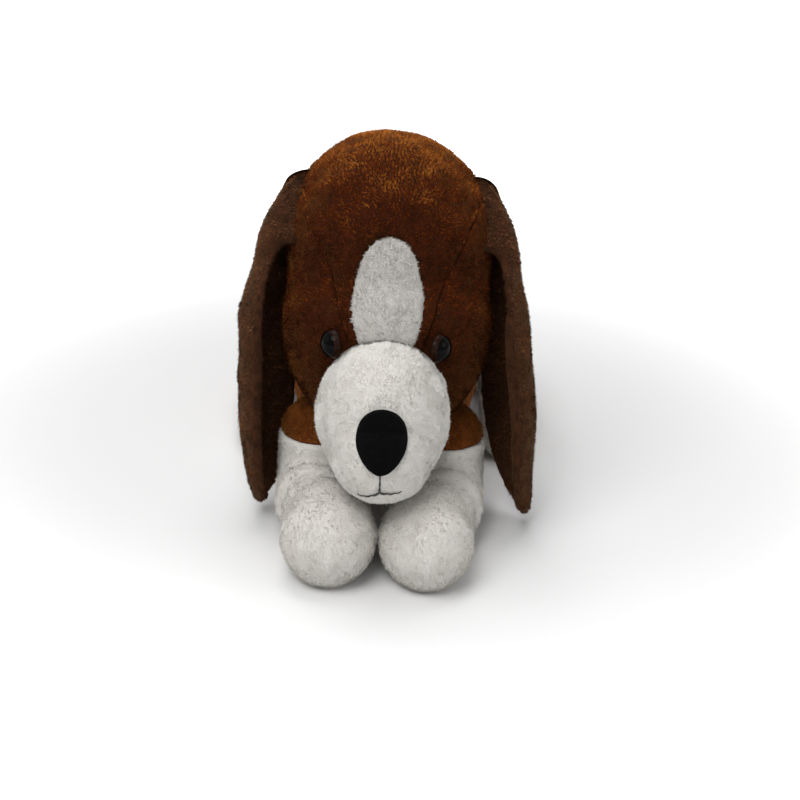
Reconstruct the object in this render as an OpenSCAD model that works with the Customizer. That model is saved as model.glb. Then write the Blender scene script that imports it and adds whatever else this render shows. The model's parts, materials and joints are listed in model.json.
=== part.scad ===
// A stuffed plush hound that lies on its belly, with its chin on its forelegs.
// It faces -Y and stands on z = 0, and its left side is +X. Sizes are in millimetres.
//
// Every stuffed shape is a form: a function of (u, a, d) that gives a point of its surface.
// u runs from the front end (0) to the back end (1), or is an angle from the nose on the head,
// a is the angle around, from +X towards +Z, and d is how far the point lies under the plush.

/* [Fabric and fits] */
// Thickness of the plush with its backing and pile
plush = 2; // [1.5:0.1:3]
// Space between the plush and the filling
fill_gap = 0.8; // [0.6:0.1:1.2]
// Space between two bodies where they are sewn together
joint_gap = 0.6; // [0.4:0.1:1]
// Space between two panels along their seam
seam_gap = 0.3; // [0.2:0.05:0.5]

/* [Torso] */
// Radius of the neck ball, seen from the side
neck_r = 58; // [50:1:66]
// Height of the centre of the neck ball, where the head nods
neck_z = 50; // [46:1:60]
// Width of the chest
chest_w = 88; // [74:1:106]
// Width, length and height of the rump
rump_size = [94, 130, 98]; // [70:1:150]
// Height of the middle of the rump
rump_z = 43; // [38:1:46]
// Distance from the neck back to the middle of the rump
rump_back = 52; // [44:1:62]

/* [Forelegs] */
// Distance from the shoulder forward to the front of the paw
foreleg_reach = 78; // [70:1:96]
// Width of a paw
paw_w = 41; // [34:1:46]
// Height of a foreleg where it lies on the ground
foreleg_h = 38; // [32:1:44]
// Radius of the upper arm
arm_r = 19; // [16:0.5:22]
// Height of the top of the shoulder
shoulder_h = 62; // [56:1:72]
// Place of the shoulders around the neck ball, in degrees from its side
shoulder_angle = 66; // [60:1:72]

/* [Head] */
// Distance from the middle of the snout back to the neck
snout_reach = 120; // [112:1:130]
// Distance from the middle of the chin down to the forelegs it rests on
chin_r = 28; // [24:0.5:32]
// Half-height of the jaw, the lower ball of the muzzle
jaw_r = 19.4; // [18:0.2:26]
// Half-width of the bridge, the upper ball of the muzzle
bridge_r = 28.5; // [24:0.5:32]
// Width, depth and height of the cheeks
cheek_size = [92, 68, 104]; // [60:1:120]
// Width, depth and height of the brow, between the eyes
brow_size = [76, 96, 74]; // [60:1:120]
// Width, depth and height of the crown
crown_size = [90, 92, 96]; // [70:1:130]
// Lean of the cheeks and crown, with the top to the back
head_lean = 16; // [6:1:20]

/* [Face] */
// Width of the nose
nose_w = 22; // [16:1:28]
// Height of the nose
nose_h = 22.2; // [20:1:34]
// How far the nose stands out of the muzzle
nose_t = 3; // [2:0.5:5]
// Diameter of an eye
eye_d = 13; // [10:0.5:16]
// Diameter of the shank behind an eye
shank_d = 4; // [3:0.5:5]
// Clearance around the shank of an eye
shank_gap = 0.15; // [0.1:0.05:0.3]

/* [Ears] */
// Length of a hanging ear, from its root to its tip
ear_l = 147; // [110:1:160]
// Greatest width of an ear
ear_w = 56; // [44:1:66]
// Width of an ear at its root
ear_root_w = 36; // [26:1:38]
// Thickness of an ear, both layers together
ear_t = 6.5; // [5:0.5:10]

/* [Hind legs] */
// Width of a hind leg
hind_w = 24; // [20:1:28]
// Height of the thigh
thigh_h = 48; // [38:1:56]
// Height of the hind foot
foot_h = 27; // [22:1:32]
// Distance from the hip forward to the tip of the foot
hind_reach = 100; // [86:1:112]

/* [Tail] */
// Length of the tail, along its curve
tail_l = 72; // [50:1:84]
// Radius of the tail at its root
tail_r = 9; // [7:0.5:11]
// Height of the tail's root
tail_z = 54; // [48:1:60]

/* [Hidden] */
TAN = "peru";
CHESTNUT = "saddlebrown";
DARK_BROWN = "#3c2316";
WHITE = "whitesmoke";
STUFFING = "ivory";
$fn = 48;

// ---- Small functions ----

function unit(v) = v / norm(v);
function lerp(a, b, t) = a + (b - a) * t;
function ramp(t) = t < 0 ? 0 : t > 1 ? 1 : t * t * (3 - 2 * t);
// Height of a dome of radius r, as a share of r, at distance t from its middle
function dome(t, r) = abs(t) < r ? sqrt(1 - t * t / (r * r)) : 0;
// Angle that a length along the surface takes up at radius r
function angle_of(length, r) = length / r * 180 / PI;

// ---- Places that follow from the sizes ----

// Where a body of radius r lies against an ellipse of half-axes e, at the angle t around it
function beside(e, t, r) =
    [e.x * cos(t), e.y * sin(t)] + unit([cos(t) / e.x, sin(t) / e.y]) * (r + joint_gap);

shoulder_from_neck = beside([chest_w / 2, neck_r], -shoulder_angle, arm_r);
tail_bend = 48;
tail_bend_r = tail_l / (tail_bend * PI / 180);
tail_root_back = rump_back + rump_size.y / 2 * dome(tail_z - rump_z, rump_size.z / 2) + tail_r + joint_gap;
front_from_neck = shoulder_from_neck.y - foreleg_reach;
back_from_neck = tail_root_back + tail_bend_r * sin(tail_bend);
neck_y = -(front_from_neck + back_from_neck) / 2;

shoulder = [shoulder_from_neck.x, neck_y + shoulder_from_neck.y];
paw_front = neck_y + front_from_neck;
paw_x = paw_w / 2 + joint_gap;
rump_y = neck_y + rump_back;
hip_angle = 36;
hip_from_rump = beside([rump_size.x / 2, rump_size.y / 2], hip_angle, hind_w / 2);
hip = [hip_from_rump.x, rump_y + hip_from_rump.y];

// The chin lies between the forelegs, a joint gap above them
chin = [
    0,
    neck_y - snout_reach,
    foreleg_h / 2 + sqrt(pow(foreleg_h / 2 + chin_r + joint_gap + 1, 2) - pow(paw_x + 1, 2))
];
jaw = chin + [0, -2.5, -1.8];
bridge = chin + [0, 13, 7.5];
cheeks = chin + [0, 50, 36];
brow = chin + [0, 56, 38];
crown = chin + [0, 70, 67];
// Every surface of the head can be seen from this point
head_middle = chin + [0, 52, 24];

// ---- Solids from grids of points ----

function flat(rows) = [for (row = rows) each row];

// Triangles of a grid with m rows of n points, starting at point k, seen from its outer side
function grid_faces(m, n, k, closed, outer) = [
    for (i = [0:m - 2], j = [0:(closed ? n - 1 : n - 2)])
        let (a = k + i * n + j, b = k + i * n + (j + 1) % n, c = b + n, d = a + n)
        each outer ? [[a, b, c], [a, c, d]] : [[a, c, b], [a, d, c]]
];

// Triangles of the narrow wall from the points p on the outer grid to the same points k further on
function wall_faces(p, k) = [
    for (i = [0:len(p) - 2])
        each [[p[i + 1], p[i], p[i] + k], [p[i + 1], p[i] + k, p[i + 1] + k]]
];

// A sheet of fabric between two grids of the same size
module sheet(outer, inner, closed = false) {
    m = len(outer);
    n = len(outer[0]);
    first = [for (j = [0:(closed ? n : n - 1)]) j % n];
    last = [for (j = first) (m - 1) * n + j];
    side = [for (i = [0:m - 1]) i * n];
    far_side = [for (i = side) i + n - 1];
    backwards = function(p) [for (i = [len(p) - 1:-1:0]) p[i]];
    polyhedron(
        points = concat(flat(outer), flat(inner)),
        faces = concat(
            grid_faces(m, n, 0, closed, true),
            grid_faces(m, n, m * n, closed, false),
            wall_faces(first, m * n),
            wall_faces(backwards(last), m * n),
            closed ? [] : wall_faces(backwards(side), m * n),
            closed ? [] : wall_faces(far_side, m * n)
        )
    );
}

// A solid inside a stack of closed rings
module stack(rings) {
    m = len(rings);
    n = len(rings[0]);
    polyhedron(
        points = flat(rings),
        faces = concat(
            grid_faces(m, n, 0, true, true),
            [for (j = [1:n - 2]) [0, j + 1, j]],
            [for (j = [1:n - 2]) let (k = (m - 1) * n) [k, k + j, k + j + 1]]
        )
    );
}

// A panel of plush on a form; place(s, t) gives the panel's own (u, a)
module panel(form, place, rows, columns, closed = false) {
    grid = function(d) [
        for (i = [0:rows]) [
            for (j = [0:(closed ? columns - 1 : columns)])
                let (p = place(i / rows, j / columns)) form(p[0], p[1], d)
        ]
    ];
    sheet(grid(0), grid(plush), closed);
}

// A panel with straight edges
function patch(u0, u1, a0, a1) = function(s, t) [lerp(u0, u1, s), lerp(a0, a1, t)];

// The filling of a form
module filling(form, u0, u1, rows, columns, gap = fill_gap) {
    stack([
        for (i = [0:rows]) [
            for (j = [0:columns - 1])
                form(lerp(u0, u1, i / rows), 360 * j / columns, plush + gap)
        ]
    ]);
}

module right_side() {
    mirror([1, 0, 0]) children();
}

// Angle that a seam takes up at each side of a panel, at a usual radius of a form
seam_a = angle_of(seam_gap / 2, 40);

// ---- Torso ----

// Half-width, lowest and highest point of the torso at y
function torso_section(y, d) =
    let (
        n = dome(y - neck_y, neck_r - d),
        r = dome(y - rump_y, rump_size.y / 2 - d),
        low_n = n > 0 ? neck_z - n * (neck_r - d) : rump_z,
        high_n = n > 0 ? neck_z + n * (neck_r - d) : rump_z,
        low_r = r > 0 ? rump_z - r * (rump_size.z / 2 - d) : neck_z,
        high_r = r > 0 ? rump_z + r * (rump_size.z / 2 - d) : neck_z
    )
    [
        max(n * (chest_w / 2 - d), r * (rump_size.x / 2 - d)),
        min(low_n, low_r),
        max(high_n, high_r)
    ];

function torso_y(u, d) =
    let (front = neck_y - neck_r + d, back = rump_y + rump_size.y / 2 - d)
    lerp(front, back, (1 - cos(lerp(2, 178, u))) / 2);

torso = function(u, a, d)
    let (
        y = torso_y(u, d),
        s = torso_section(y, d),
        z = (s[1] + s[2]) / 2 + (s[2] - s[1]) / 2 * sin(a)
    )
    [s[0] * cos(a), y, max(d, z)];

// Where a section meets the ground, as an angle
function belly_edge(u) =
    let (s = torso_section(torso_y(u, 0), 0))
    s[1] < 0 ? -asin((s[1] + s[2]) / (s[2] - s[1])) : -90;

chest_end = 0.24;

module chest_panel() {
    color(TAN)
    panel(torso, patch(0, chest_end - 0.002, 0, 360), 6, 32, closed = true);
}

module back_panel_left() {
    color(TAN)
    panel(
        torso,
        function(s, t)
            let (u = lerp(chest_end + 0.002, 1, s))
            [u, lerp(belly_edge(u) + seam_a, 90 - seam_a, t)],
        15, 11
    );
}

module back_panel_right() {
    right_side() back_panel_left();
}

// The belly is flat where the toy lies on it
module belly_panel() {
    edge = [
        for (i = [1:39])
            let (u = i / 40, a = belly_edge(u), p = torso(u, a, plush))
            if (u > chest_end + 0.02 && a > -86)
                [p.x - 2 * seam_gap, p.y]
    ];
    mirrored = [for (i = [len(edge) - 1:-1:0]) [-edge[i].x, edge[i].y]];
    color(WHITE)
    linear_extrude(plush)
    polygon(concat(edge, mirrored));
}

module torso_filling() {
    color(STUFFING)
    filling(torso, 0, 1, 18, 24, gap = 1.6 * fill_gap);
}

// A row of short stitches that closes the seam under the tail
module closing_stitches() {
    stitch_r = 0.5;
    stitch_l = 5;
    color(TAN)
    for (i = [0:5]) {
        u = lerp(0.955, 0.985, i / 5);
        at = torso(u, 270, 0);
        translate([-stitch_l / 2, at.y + stitch_r * 0.8, at.z - stitch_r * 0.8 + i * 0.01])
        rotate([0, 90, 0])
        cylinder(r = stitch_r, h = stitch_l, $fn = 16);
    }
}

// ---- Forelegs ----

crease_gap = 1.5;
crease_y = shoulder.y - arm_r - crease_gap;
crease_z = foreleg_h + crease_gap;
// Shares of u where the forearm and the elbow end, and where the tan plush of the shoulder starts
forearm_end = 0.5;
elbow_end = 0.78;
sleeve_start = 0.816;
// How much deeper the lower half is than the upper one, before the ground flattens it
sole_spread = 1.14;

// The forearm lies on the ground, turns around the crease of the elbow and ends in the shoulder
foreleg = function(u, a, d)
    u <= forearm_end ?
        let (
            v = lerp(0.03, 1, u / forearm_end),
            run = (crease_y - paw_front - d) * v * v,
            r = paw_w / 2 - d,
            k = run < r ? dome(r - run, r) : 1,
            y = paw_front + d + run,
            x = lerp(paw_x, shoulder.x, ramp((y - paw_front - r) / (crease_y - paw_front - r) * 2 - 1)),
            w = lerp(paw_w / 2, arm_r, ramp((y - paw_front - r) / (crease_y - paw_front - r))),
            h = (foreleg_h / 2 - d) * (sin(a) < 0 ? sole_spread : 1)
        )
        [x + (w - d) * k * cos(a), y, max(d, foreleg_h / 2 + h * k * sin(a))]
    : u <= elbow_end ?
        let (
            t = (u - forearm_end) / (elbow_end - forearm_end),
            h = lerp(foreleg_h / 2, arm_r, t),
            spread = sin(a) < 0 ? lerp(sole_spread, 1, t) : 1,
            out = crease_gap + h - (h - d) * spread * sin(a)
        )
        [
            shoulder.x + (arm_r - d) * cos(a),
            crease_y + out * sin(90 * t),
            max(d, crease_z - out * cos(90 * t))
        ]
    :
        let (
            t = (u - elbow_end) / (1 - elbow_end) * 86,
            r = (arm_r - d) * cos(t)
        )
        [
            shoulder.x + r * cos(a),
            shoulder.y - r * sin(a),
            crease_z + (shoulder_h - d - crease_z) * sin(t)
        ];

module foreleg_outer_left() {
    color(WHITE)
    panel(foreleg, patch(0, sleeve_start, -90 + seam_a, 90 - seam_a), 14, 8);
}

module foreleg_inner_left() {
    color(WHITE)
    panel(foreleg, patch(0, sleeve_start, 90 + seam_a, 270 - seam_a), 14, 8);
}

module shoulder_sleeve_left() {
    color(TAN)
    panel(foreleg, patch(sleeve_start + 0.004, 1, 0, 360), 5, 16, closed = true);
}

module foreleg_filling_left() {
    color(STUFFING)
    filling(foreleg, 0, 1, 16, 14);
}

// ---- Hind legs ----

// Share of u where the foot ends and the thigh starts
thigh_front = 0.2;
// Where the outer and the inner half of a thigh are sewn together, past the top on the inside, in degrees
thigh_seam = 140;

// The foot points forward beside the rump, and the thigh follows the side of the torso
hindleg = function(u, a, d)
    let (
        tip = hip.y - hind_reach + d,
        end = hip.y + hind_w / 2 - d,
        y = lerp(tip, end, (1 - cos(lerp(4, 176, u))) / 2),
        r = hind_w / 2 - d,
        k = y < tip + r ? dome(tip + r - y, r) : y > hip.y ? dome(y - hip.y, r) : 1,
        t = min(hip.y, max(y, rump_y - 10)) - rump_y,
        side = dome(t, rump_size.y / 2),
        slope = unit([side / rump_size.x, t / rump_size.y * 2 / rump_size.y]).x,
        x = y > hip.y ? hip.x : side * rump_size.x / 2 + (hind_w / 2 + joint_gap) / slope,
        tall = lerp(foot_h, thigh_h, ramp((y - tip - hind_reach * 0.32) / (hind_reach * 0.22))),
        h = (tall - 2 * d) / 2
    )
    [
        x + r * k * cos(a),
        y,
        max(d, tall / 2 + h * lerp(k, 1, 0.12) * sin(a) * (sin(a) < 0 ? sole_spread : 1))
    ];

module thigh_outer_left() {
    color(TAN)
    panel(hindleg, patch(thigh_front, 1, -90 + seam_a, thigh_seam - seam_a), 12, 10);
}

module thigh_inner_left() {
    color(WHITE)
    panel(hindleg, patch(thigh_front, 1, thigh_seam + seam_a, 270 - seam_a), 12, 7);
}

module foot_left() {
    color(WHITE)
    panel(hindleg, patch(0, thigh_front - 0.004, 0, 360), 8, 14, closed = true);
}

module hindleg_filling_left() {
    color(STUFFING)
    filling(hindleg, 0, 1, 14, 12);
}

// ---- Tail ----

// Share of u where the white tip starts
tail_tip_start = 0.68;

// The tail bends upwards from its root behind the rump
tail = function(u, a, d)
    let (
        v = lerp(0.004, 0.996, u),
        r = (tail_r - d) * (v < 0.16 ? dome(0.16 - v, 0.16) : 1)
            * (v > 0.8 ? dome(v - 0.8, 0.2) : 1) * lerp(1, 0.86, v),
        bend = tail_bend * v,
        middle = [
            neck_y + tail_root_back + tail_bend_r * sin(bend) - tail_r * (1 - v),
            tail_z + tail_bend_r * (1 - cos(bend))
        ]
    )
    [r * cos(a), middle.x - r * sin(a) * sin(bend), middle.y + r * sin(a) * cos(bend)];

module tail_sleeve() {
    color(TAN)
    panel(tail, patch(0, tail_tip_start - 0.003, 0, 360), 9, 12, closed = true);
}

module tail_tip() {
    color(WHITE)
    panel(tail, patch(tail_tip_start, 1, 0, 360), 6, 12, closed = true);
}

module tail_filling() {
    color(STUFFING)
    filling(tail, 0.03, 0.97, 14, 12, gap = 1.5 * fill_gap);
}

// ---- Head ----

// Axes of the head: ahead is towards the chin, and above is square to it
ahead = unit(chin + [0, 0, 6] - head_middle);
above = [0, ahead.z, -ahead.y];

// The way from the middle of the head at u degrees from ahead and a degrees around
function way(u, a) = ahead * cos(u) + ([1, 0, 0] * cos(a) + above * sin(a)) * sin(u);

// Distances from the middle of the head to an ellipsoid: [near, far], or zeros for a miss
function reach(w, middle, half, lean) =
    let (
        turn = function(v) [
            v.x / half.x,
            (v.y * cos(lean) - v.z * sin(lean)) / half.y,
            (v.y * sin(lean) + v.z * cos(lean)) / half.z
        ],
        p = turn(head_middle - middle),
        q = turn(w),
        b = p * q,
        disc = b * b - (q * q) * (p * p - 1)
    )
    disc < 0 ? [0, 0] : [(-b - sqrt(disc)) / (q * q), (-b + sqrt(disc)) / (q * q)];

// Two shapes flow into each other where they are equally far
function blend(a, b, sharp) = pow(pow(a, sharp) + pow(b, sharp), 1 / sharp);

// The muzzle is narrow at the jaw and wide across the bridge
jaw_half = jaw_r * [1, 1.28, 1];
bridge_half = bridge_r * [1, 1.2, 1.26];
// How sharply two shapes of the head meet: soft on the muzzle and tighter around the brow
muzzle_bend = 11;
crown_bend = 14;
brow_bend = 20;

function muzzle_reach(w) =
    blend(
        max(0, reach(w, jaw, jaw_half, 0)[1]),
        max(0, reach(w, bridge, bridge_half, 0)[1]),
        muzzle_bend
    );
function face_reach(w) =
    blend(
        blend(
            max(0, reach(w, cheeks, cheek_size / 2, head_lean)[1]),
            max(0, reach(w, crown, crown_size / 2, head_lean)[1]),
            crown_bend
        ),
        max(0, reach(w, brow, brow_size / 2, 0)[1]),
        brow_bend
    );
// The head stops at the neck ball
press_gap = joint_gap + 0.8;
function neck_reach(w, d) =
    let (
        socket = [chest_w / 2, neck_r, neck_r] + [1, 1, 1] * (press_gap + d),
        near = reach(w, [0, neck_y, neck_z], socket, 0)[0]
    )
    near > 0 ? near : 1000;
// The head is pressed in where it lies on the shoulders
function shoulder_reach(w, d) =
    let (
        half = [arm_r, arm_r, shoulder_h - crease_z] + [1, 1, 1] * (press_gap + d),
        side = w.x < 0 ? -1 : 1,
        near = reach(w, [side * shoulder.x, shoulder.y, crease_z], half, 0)[0]
    )
    near > 0 ? near : 1000;
function head_reach(w, d) =
    min(max(muzzle_reach(w), face_reach(w)) - d, neck_reach(w, d), shoulder_reach(w, d));

head = function(u, a, d) let (w = way(u, a)) head_middle + w * head_reach(w, d);

// Where the muzzle meets the face, in degrees from ahead
function muzzle_edge(a, low = 10, high = 88, steps = 14) =
    let (mid = (low + high) / 2, w = way(mid, a))
    steps == 0 ? mid
    : muzzle_reach(w) > face_reach(w) ? muzzle_edge(a, mid, high, steps - 1)
    : muzzle_edge(a, low, mid, steps - 1);

// Seams of the head. Each is an angle around at u degrees from ahead, or the other way round.
// The blaze ends at the angle blaze_tip, and is blaze_a wide to each side at the muzzle.
blaze_tip = 86;
blaze_a = 22;
function blaze_half(s) = blaze_a * pow(1 - pow(s, 2.6), 0.52) + 0.6;
function forehead_half(u) = lookup(u, [[40, 32], [82, 28], [119, 34], [140, 32]]);
throat_half = 32;
crown_seam = 138;
side_seam = 124;
function back_edge(a) = lerp(side_seam, crown_seam, ramp(max(0, sin(a))));

module muzzle_panel() {
    color(WHITE)
    difference() {
        panel(
            head,
            function(s, t) [lerp(1, muzzle_edge(360 * t) - seam_a, pow(s, 0.8)), 360 * t],
            8, 32, closed = true
        );
        eye_places() eye_seat();
    }
}

module blaze_panel() {
    color(WHITE)
    panel(
        head,
        function(s, t)
            let (a = 90 + (2 * t - 1) * (blaze_half(s) - seam_a))
            [lerp(muzzle_edge(a) + seam_a, blaze_tip, s), a],
        10, 8
    );
}

// The forehead goes around the blaze like an arch
module forehead_panel() {
    place = function(s, t)
        let (
            side = t < 0.5 ? 1 : -1,
            v = 1 - abs(2 * t - 1),
            seam_v = min(1, v / 0.7),
            top_v = max(0, (v - 0.7) / 0.3),
            in_base = muzzle_edge(90 - side * blaze_a) + seam_a,
            inner = [lerp(in_base, blaze_tip + 1.2, v), blaze_half(v) + seam_a],
            out_base = muzzle_edge(90 - side * forehead_half(40)) + seam_a,
            guess = lerp(out_base, back_edge(90 - forehead_half(138)) - seam_a, seam_v),
            out_a = (forehead_half(guess) - seam_a) * (1 - top_v),
            outer = [seam_v < 1 ? guess : back_edge(90 - out_a) - seam_a, out_a],
            p = lerp(inner, outer, s)
        )
        [p[0], 90 - side * p[1]];
    color(CHESTNUT)
    panel(head, place, 4, 40);
}

cheek_place = function(s, t)
    let (
        first = 90 - forehead_half(lerp(muzzle_edge(60), crown_seam, s)),
        guess = lerp(muzzle_edge(first), back_edge(first), s),
        top = 90 - forehead_half(guess) - seam_a,
        a = lerp(-90 + throat_half + seam_a, top, t)
    )
    [lerp(muzzle_edge(a) + seam_a, back_edge(a) - seam_a, s), a];

module cheek_panel_left() {
    color(CHESTNUT)
    difference() {
        panel(head, cheek_place, 14, 12);
        at_eye() eye_seat();
    }
}

module cheek_panel_right() {
    right_side() cheek_panel_left();
}

module throat_panel() {
    color(WHITE)
    panel(
        head,
        function(s, t)
            let (a = -90 + (2 * t - 1) * (throat_half - seam_a))
            [lerp(muzzle_edge(a) + seam_a, back_edge(a) - seam_a, s), a],
        12, 8
    );
}

module head_back_panel() {
    color(CHESTNUT)
    panel(
        head,
        function(s, t) [lerp(back_edge(360 * t) + seam_a, 179, s), 360 * t],
        6, 32, closed = true
    );
}

module head_filling() {
    color(STUFFING)
    difference() {
        filling(head, 1, 179, 22, 30, gap = 3.6 * fill_gap);
        eye_places() pocket();
    }
}

// ---- Eyes ----

// Place of the left eye as (u, a), and the shank and washer that lock it from the inside
eye_u = 49;
eye_a = 47.2;
shank_l = 9;
washer_r = 6.5;
washer_t = 1.5;
eye_at = head(eye_u, eye_a, 0);
eye_way = unit(cross(
    head(eye_u + 6, eye_a, 0) - head(eye_u - 6, eye_a, 0),
    head(eye_u, eye_a + 9, 0) - head(eye_u, eye_a - 9, 0)
));
eye_height = 5;
// Height of the rim over the plush
eye_rim = 0.4;
eye_sphere_r = (pow(eye_d / 2, 2) + eye_height * eye_height) / (2 * eye_height);

// Puts its children at the left eye, with +Z out of the face
module at_eye() {
    translate(eye_at)
    rotate([0, acos(eye_way.z), atan2(eye_way.y, eye_way.x)])
    children();
}

module eye_places() {
    at_eye() children();
    right_side() at_eye() children();
}

// The hole for the shank, with the plush pressed down under the rim of the eye
module eye_seat() {
    translate([0, 0, -shank_l - 1])
    cylinder(r = shank_d / 2 + shank_gap, h = shank_l + 2);
    translate([0, 0, eye_rim - seam_gap])
    cylinder(r = eye_d / 2 + seam_gap, h = eye_height);
}

module pocket() {
    translate([0, 0, -shank_l - 2])
    cylinder(r = washer_r + 0.6, h = shank_l + 4);
}

module eye_left() {
    color("#2a1208")
    at_eye()
    translate([0, 0, eye_rim]) {
        rotate_extrude()
        intersection() {
            translate([0, eye_height - eye_sphere_r])
            circle(r = eye_sphere_r);
            square([eye_d, eye_d]);
        }
        translate([0, 0, -shank_l])
        cylinder(d = shank_d, h = shank_l);
    }
}

module eye_right() {
    right_side() eye_left();
}

module eye_washer_left() {
    color("whitesmoke")
    at_eye()
    translate([0, 0, -plush - 2.6 - washer_t])
    difference() {
        cylinder(r = washer_r, h = washer_t);
        translate([0, 0, -1])
        cylinder(r = shank_d / 2 + shank_gap, h = washer_t + 2);
    }
}

module eye_washer_right() {
    right_side() eye_washer_left();
}

// ---- Nose and mouth ----

// A point on the muzzle, x across and z up from the middle of the nose, raised by lift
nose_u = 10.6;
function on_muzzle(x, z, lift) =
    let (
        far = head_reach(way(nose_u, 90), 0),
        w = unit(ahead + [1, 0, 0] * x / far + above * (tan(nose_u) + z / far))
    )
    head_middle + w * head_reach(w, -lift);

nose_top = 0.5;
// Half-size of the nose at the angle a: round at the top and pointed at the bottom
function nose_edge(a) =
    sin(a) > 0 ? [nose_w / 2 * cos(a), nose_h * nose_top * sin(a)]
    : [nose_w / 2 * cos(a) * (1 - 0.34 * pow(sin(a), 2)), nose_h * (1 - nose_top) * sin(a)];

module nose() {
    // Gap that keeps the back of the felt clear of the plush under it
    seat = 1;
    rings = [[0.03, seat], [0.5, seat], [0.97, seat], [1, 1.3], [0.96, nose_t * 0.6],
        [0.8, nose_t * 0.9], [0.5, nose_t], [0.03, nose_t]];
    color("#141414")
    stack([
        for (r = rings) [
            for (j = [0:27]) let (e = nose_edge(-360 * j / 28) * r[0]) on_muzzle(e.x, e.y, r[1])
        ]
    ]);
}

// Length of the middle stitch, reach of the mouth to each side, how far its ends drop, and the thread
mouth_drop = 6;
mouth_half = 9.5;
mouth_sag = 4;
thread_r = 0.6;

// One thread along points on the muzzle
module thread(points) {
    path = [for (p = points) on_muzzle(p.x, p.y, thread_r + 0.3)];
    stack([
        for (i = [0:len(path) - 1])
            let (
                t = unit(path[min(i + 1, len(path) - 1)] - path[max(i - 1, 0)]),
                side = unit(cross(t, ahead)),
                up = cross(side, t)
            )
            [for (j = [0:7]) path[i] + (side * cos(45 * j) + up * sin(45 * j)) * thread_r]
    ]);
}

module mouth_stitches() {
    top = -nose_h * (1 - nose_top) - 1.5;
    bottom = top - mouth_drop;
    color("#141414") {
        thread([for (i = [0:4]) [0, lerp(top, bottom + 1.5, i / 4)]]);
        for (side = [-1, 1])
            thread([
                for (i = [0:5])
                    let (t = i / 5) [side * lerp(1, mouth_half, t), bottom - mouth_sag * t * t]
            ]);
    }
}

// ---- Ears ----

// The root of an ear lies on the crown, a little sunk in
ear_sunk = 0.6;
ear_root_yz = [head_middle.y + 10, head_middle.z + 59];
ear_root = [
    crown_size.x / 2 * sqrt(1 - pow((ear_root_yz.x - crown.y) / crown_size.y * 2, 2)
        - pow((ear_root_yz.y - crown.z) / crown_size.z * 2, 2)) - ear_sunk,
    ear_root_yz.x,
    ear_root_yz.y
];
// Slant of the root, with the back edge up, in degrees
ear_root_tilt = 46;
// The two ears never hang quite alike. For the left and the right one: how far it stands out, by which
// share of its length it does, and how far its tip hangs in
ear_flare = [24, 20.5];
ear_flare_by = [0.66, 0.38];
ear_tip_in = [-1, 8];
// How far the front and the back edge of an ear curl in, and how much more the back one does
ear_cup = 14;
ear_curl_back = 6.5;
// Share of the length over which an ear turns from the root's way out to straight down
ear_turn = 0.06;
// Half-thickness of an ear at its edges
ear_edge_t = 0.9;

// Middle surface of an ear on the left: s runs down from the root, v from the front (-1) to the back (1)
function ear_mid(s, v, ear) =
    let (
        low = max(0, (s - 0.6) / 0.4),
        half = lerp(ear_root_w / 2, ear_w / 2, ramp(s / 0.55)) * (low > 0 ? max(0.08, dome(low, 1)) : 1),
        tilt = lerp(ear_root_tilt, 4, ramp(s / 0.4)),
        cup = ramp(s / 0.4),
        curl = cup * (ear_curl_back * v + ear_cup * v * v) * half / ear_w * 2,
        x = ear_flare[ear] * sqrt(min(1, s / ear_flare_by[ear])) - ear_tip_in[ear] * low * low - curl,
        drop = ear_l * (s - ear_turn * (1 - exp(-s / ear_turn)))
    )
    ear_root + [x, v * half * cos(tilt) - 6 * ramp(s), v * half * sin(tilt) - drop];

function ear_way(s, v, ear) =
    unit(cross(
        ear_mid(min(1, s + 0.02), v, ear) - ear_mid(max(0.001, s - 0.02), v, ear),
        ear_mid(s, v + 0.05, ear) - ear_mid(s, v - 0.05, ear)
    ));

function ear_half_t(s, v) =
    lerp(0.35, 1, ramp(s / 0.15)) * (ear_edge_t + (ear_t / 2 - ear_edge_t) * (1 - v * v));

// One layer of an ear, from the middle surface outwards (side 1) or inwards (side -1)
module ear_layer(side, ear) {
    rows = 15;
    columns = 9;
    grid = function(share) [
        for (i = [0:rows]) [
            for (j = [0:columns])
                let (s = lerp(0.004, 1, pow(i / rows, 1.3)), v = 2 * j / columns - 1)
                ear_mid(s, v, ear) + ear_way(s, v, ear) * ear_half_t(s, v) * share
        ]
    ];
    sheet(grid(max(0, side)), grid(min(0, side)));
}

module ear_outer_left() {
    color(DARK_BROWN)
    ear_layer(1, 0);
}

module ear_inner_left() {
    color(DARK_BROWN)
    ear_layer(-1, 0);
}

module ear_outer_right() {
    color(DARK_BROWN)
    right_side() ear_layer(1, 1);
}

module ear_inner_right() {
    color(DARK_BROWN)
    right_side() ear_layer(-1, 1);
}

// ---- Right legs ----

module shoulder_sleeve_right() {
    right_side() shoulder_sleeve_left();
}

module foreleg_outer_right() {
    right_side() foreleg_outer_left();
}

module foreleg_inner_right() {
    right_side() foreleg_inner_left();
}

module foreleg_filling_right() {
    right_side() foreleg_filling_left();
}

module thigh_outer_right() {
    right_side() thigh_outer_left();
}

module thigh_inner_right() {
    right_side() thigh_inner_left();
}

module foot_right() {
    right_side() foot_left();
}

module hindleg_filling_right() {
    right_side() hindleg_filling_left();
}

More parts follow.
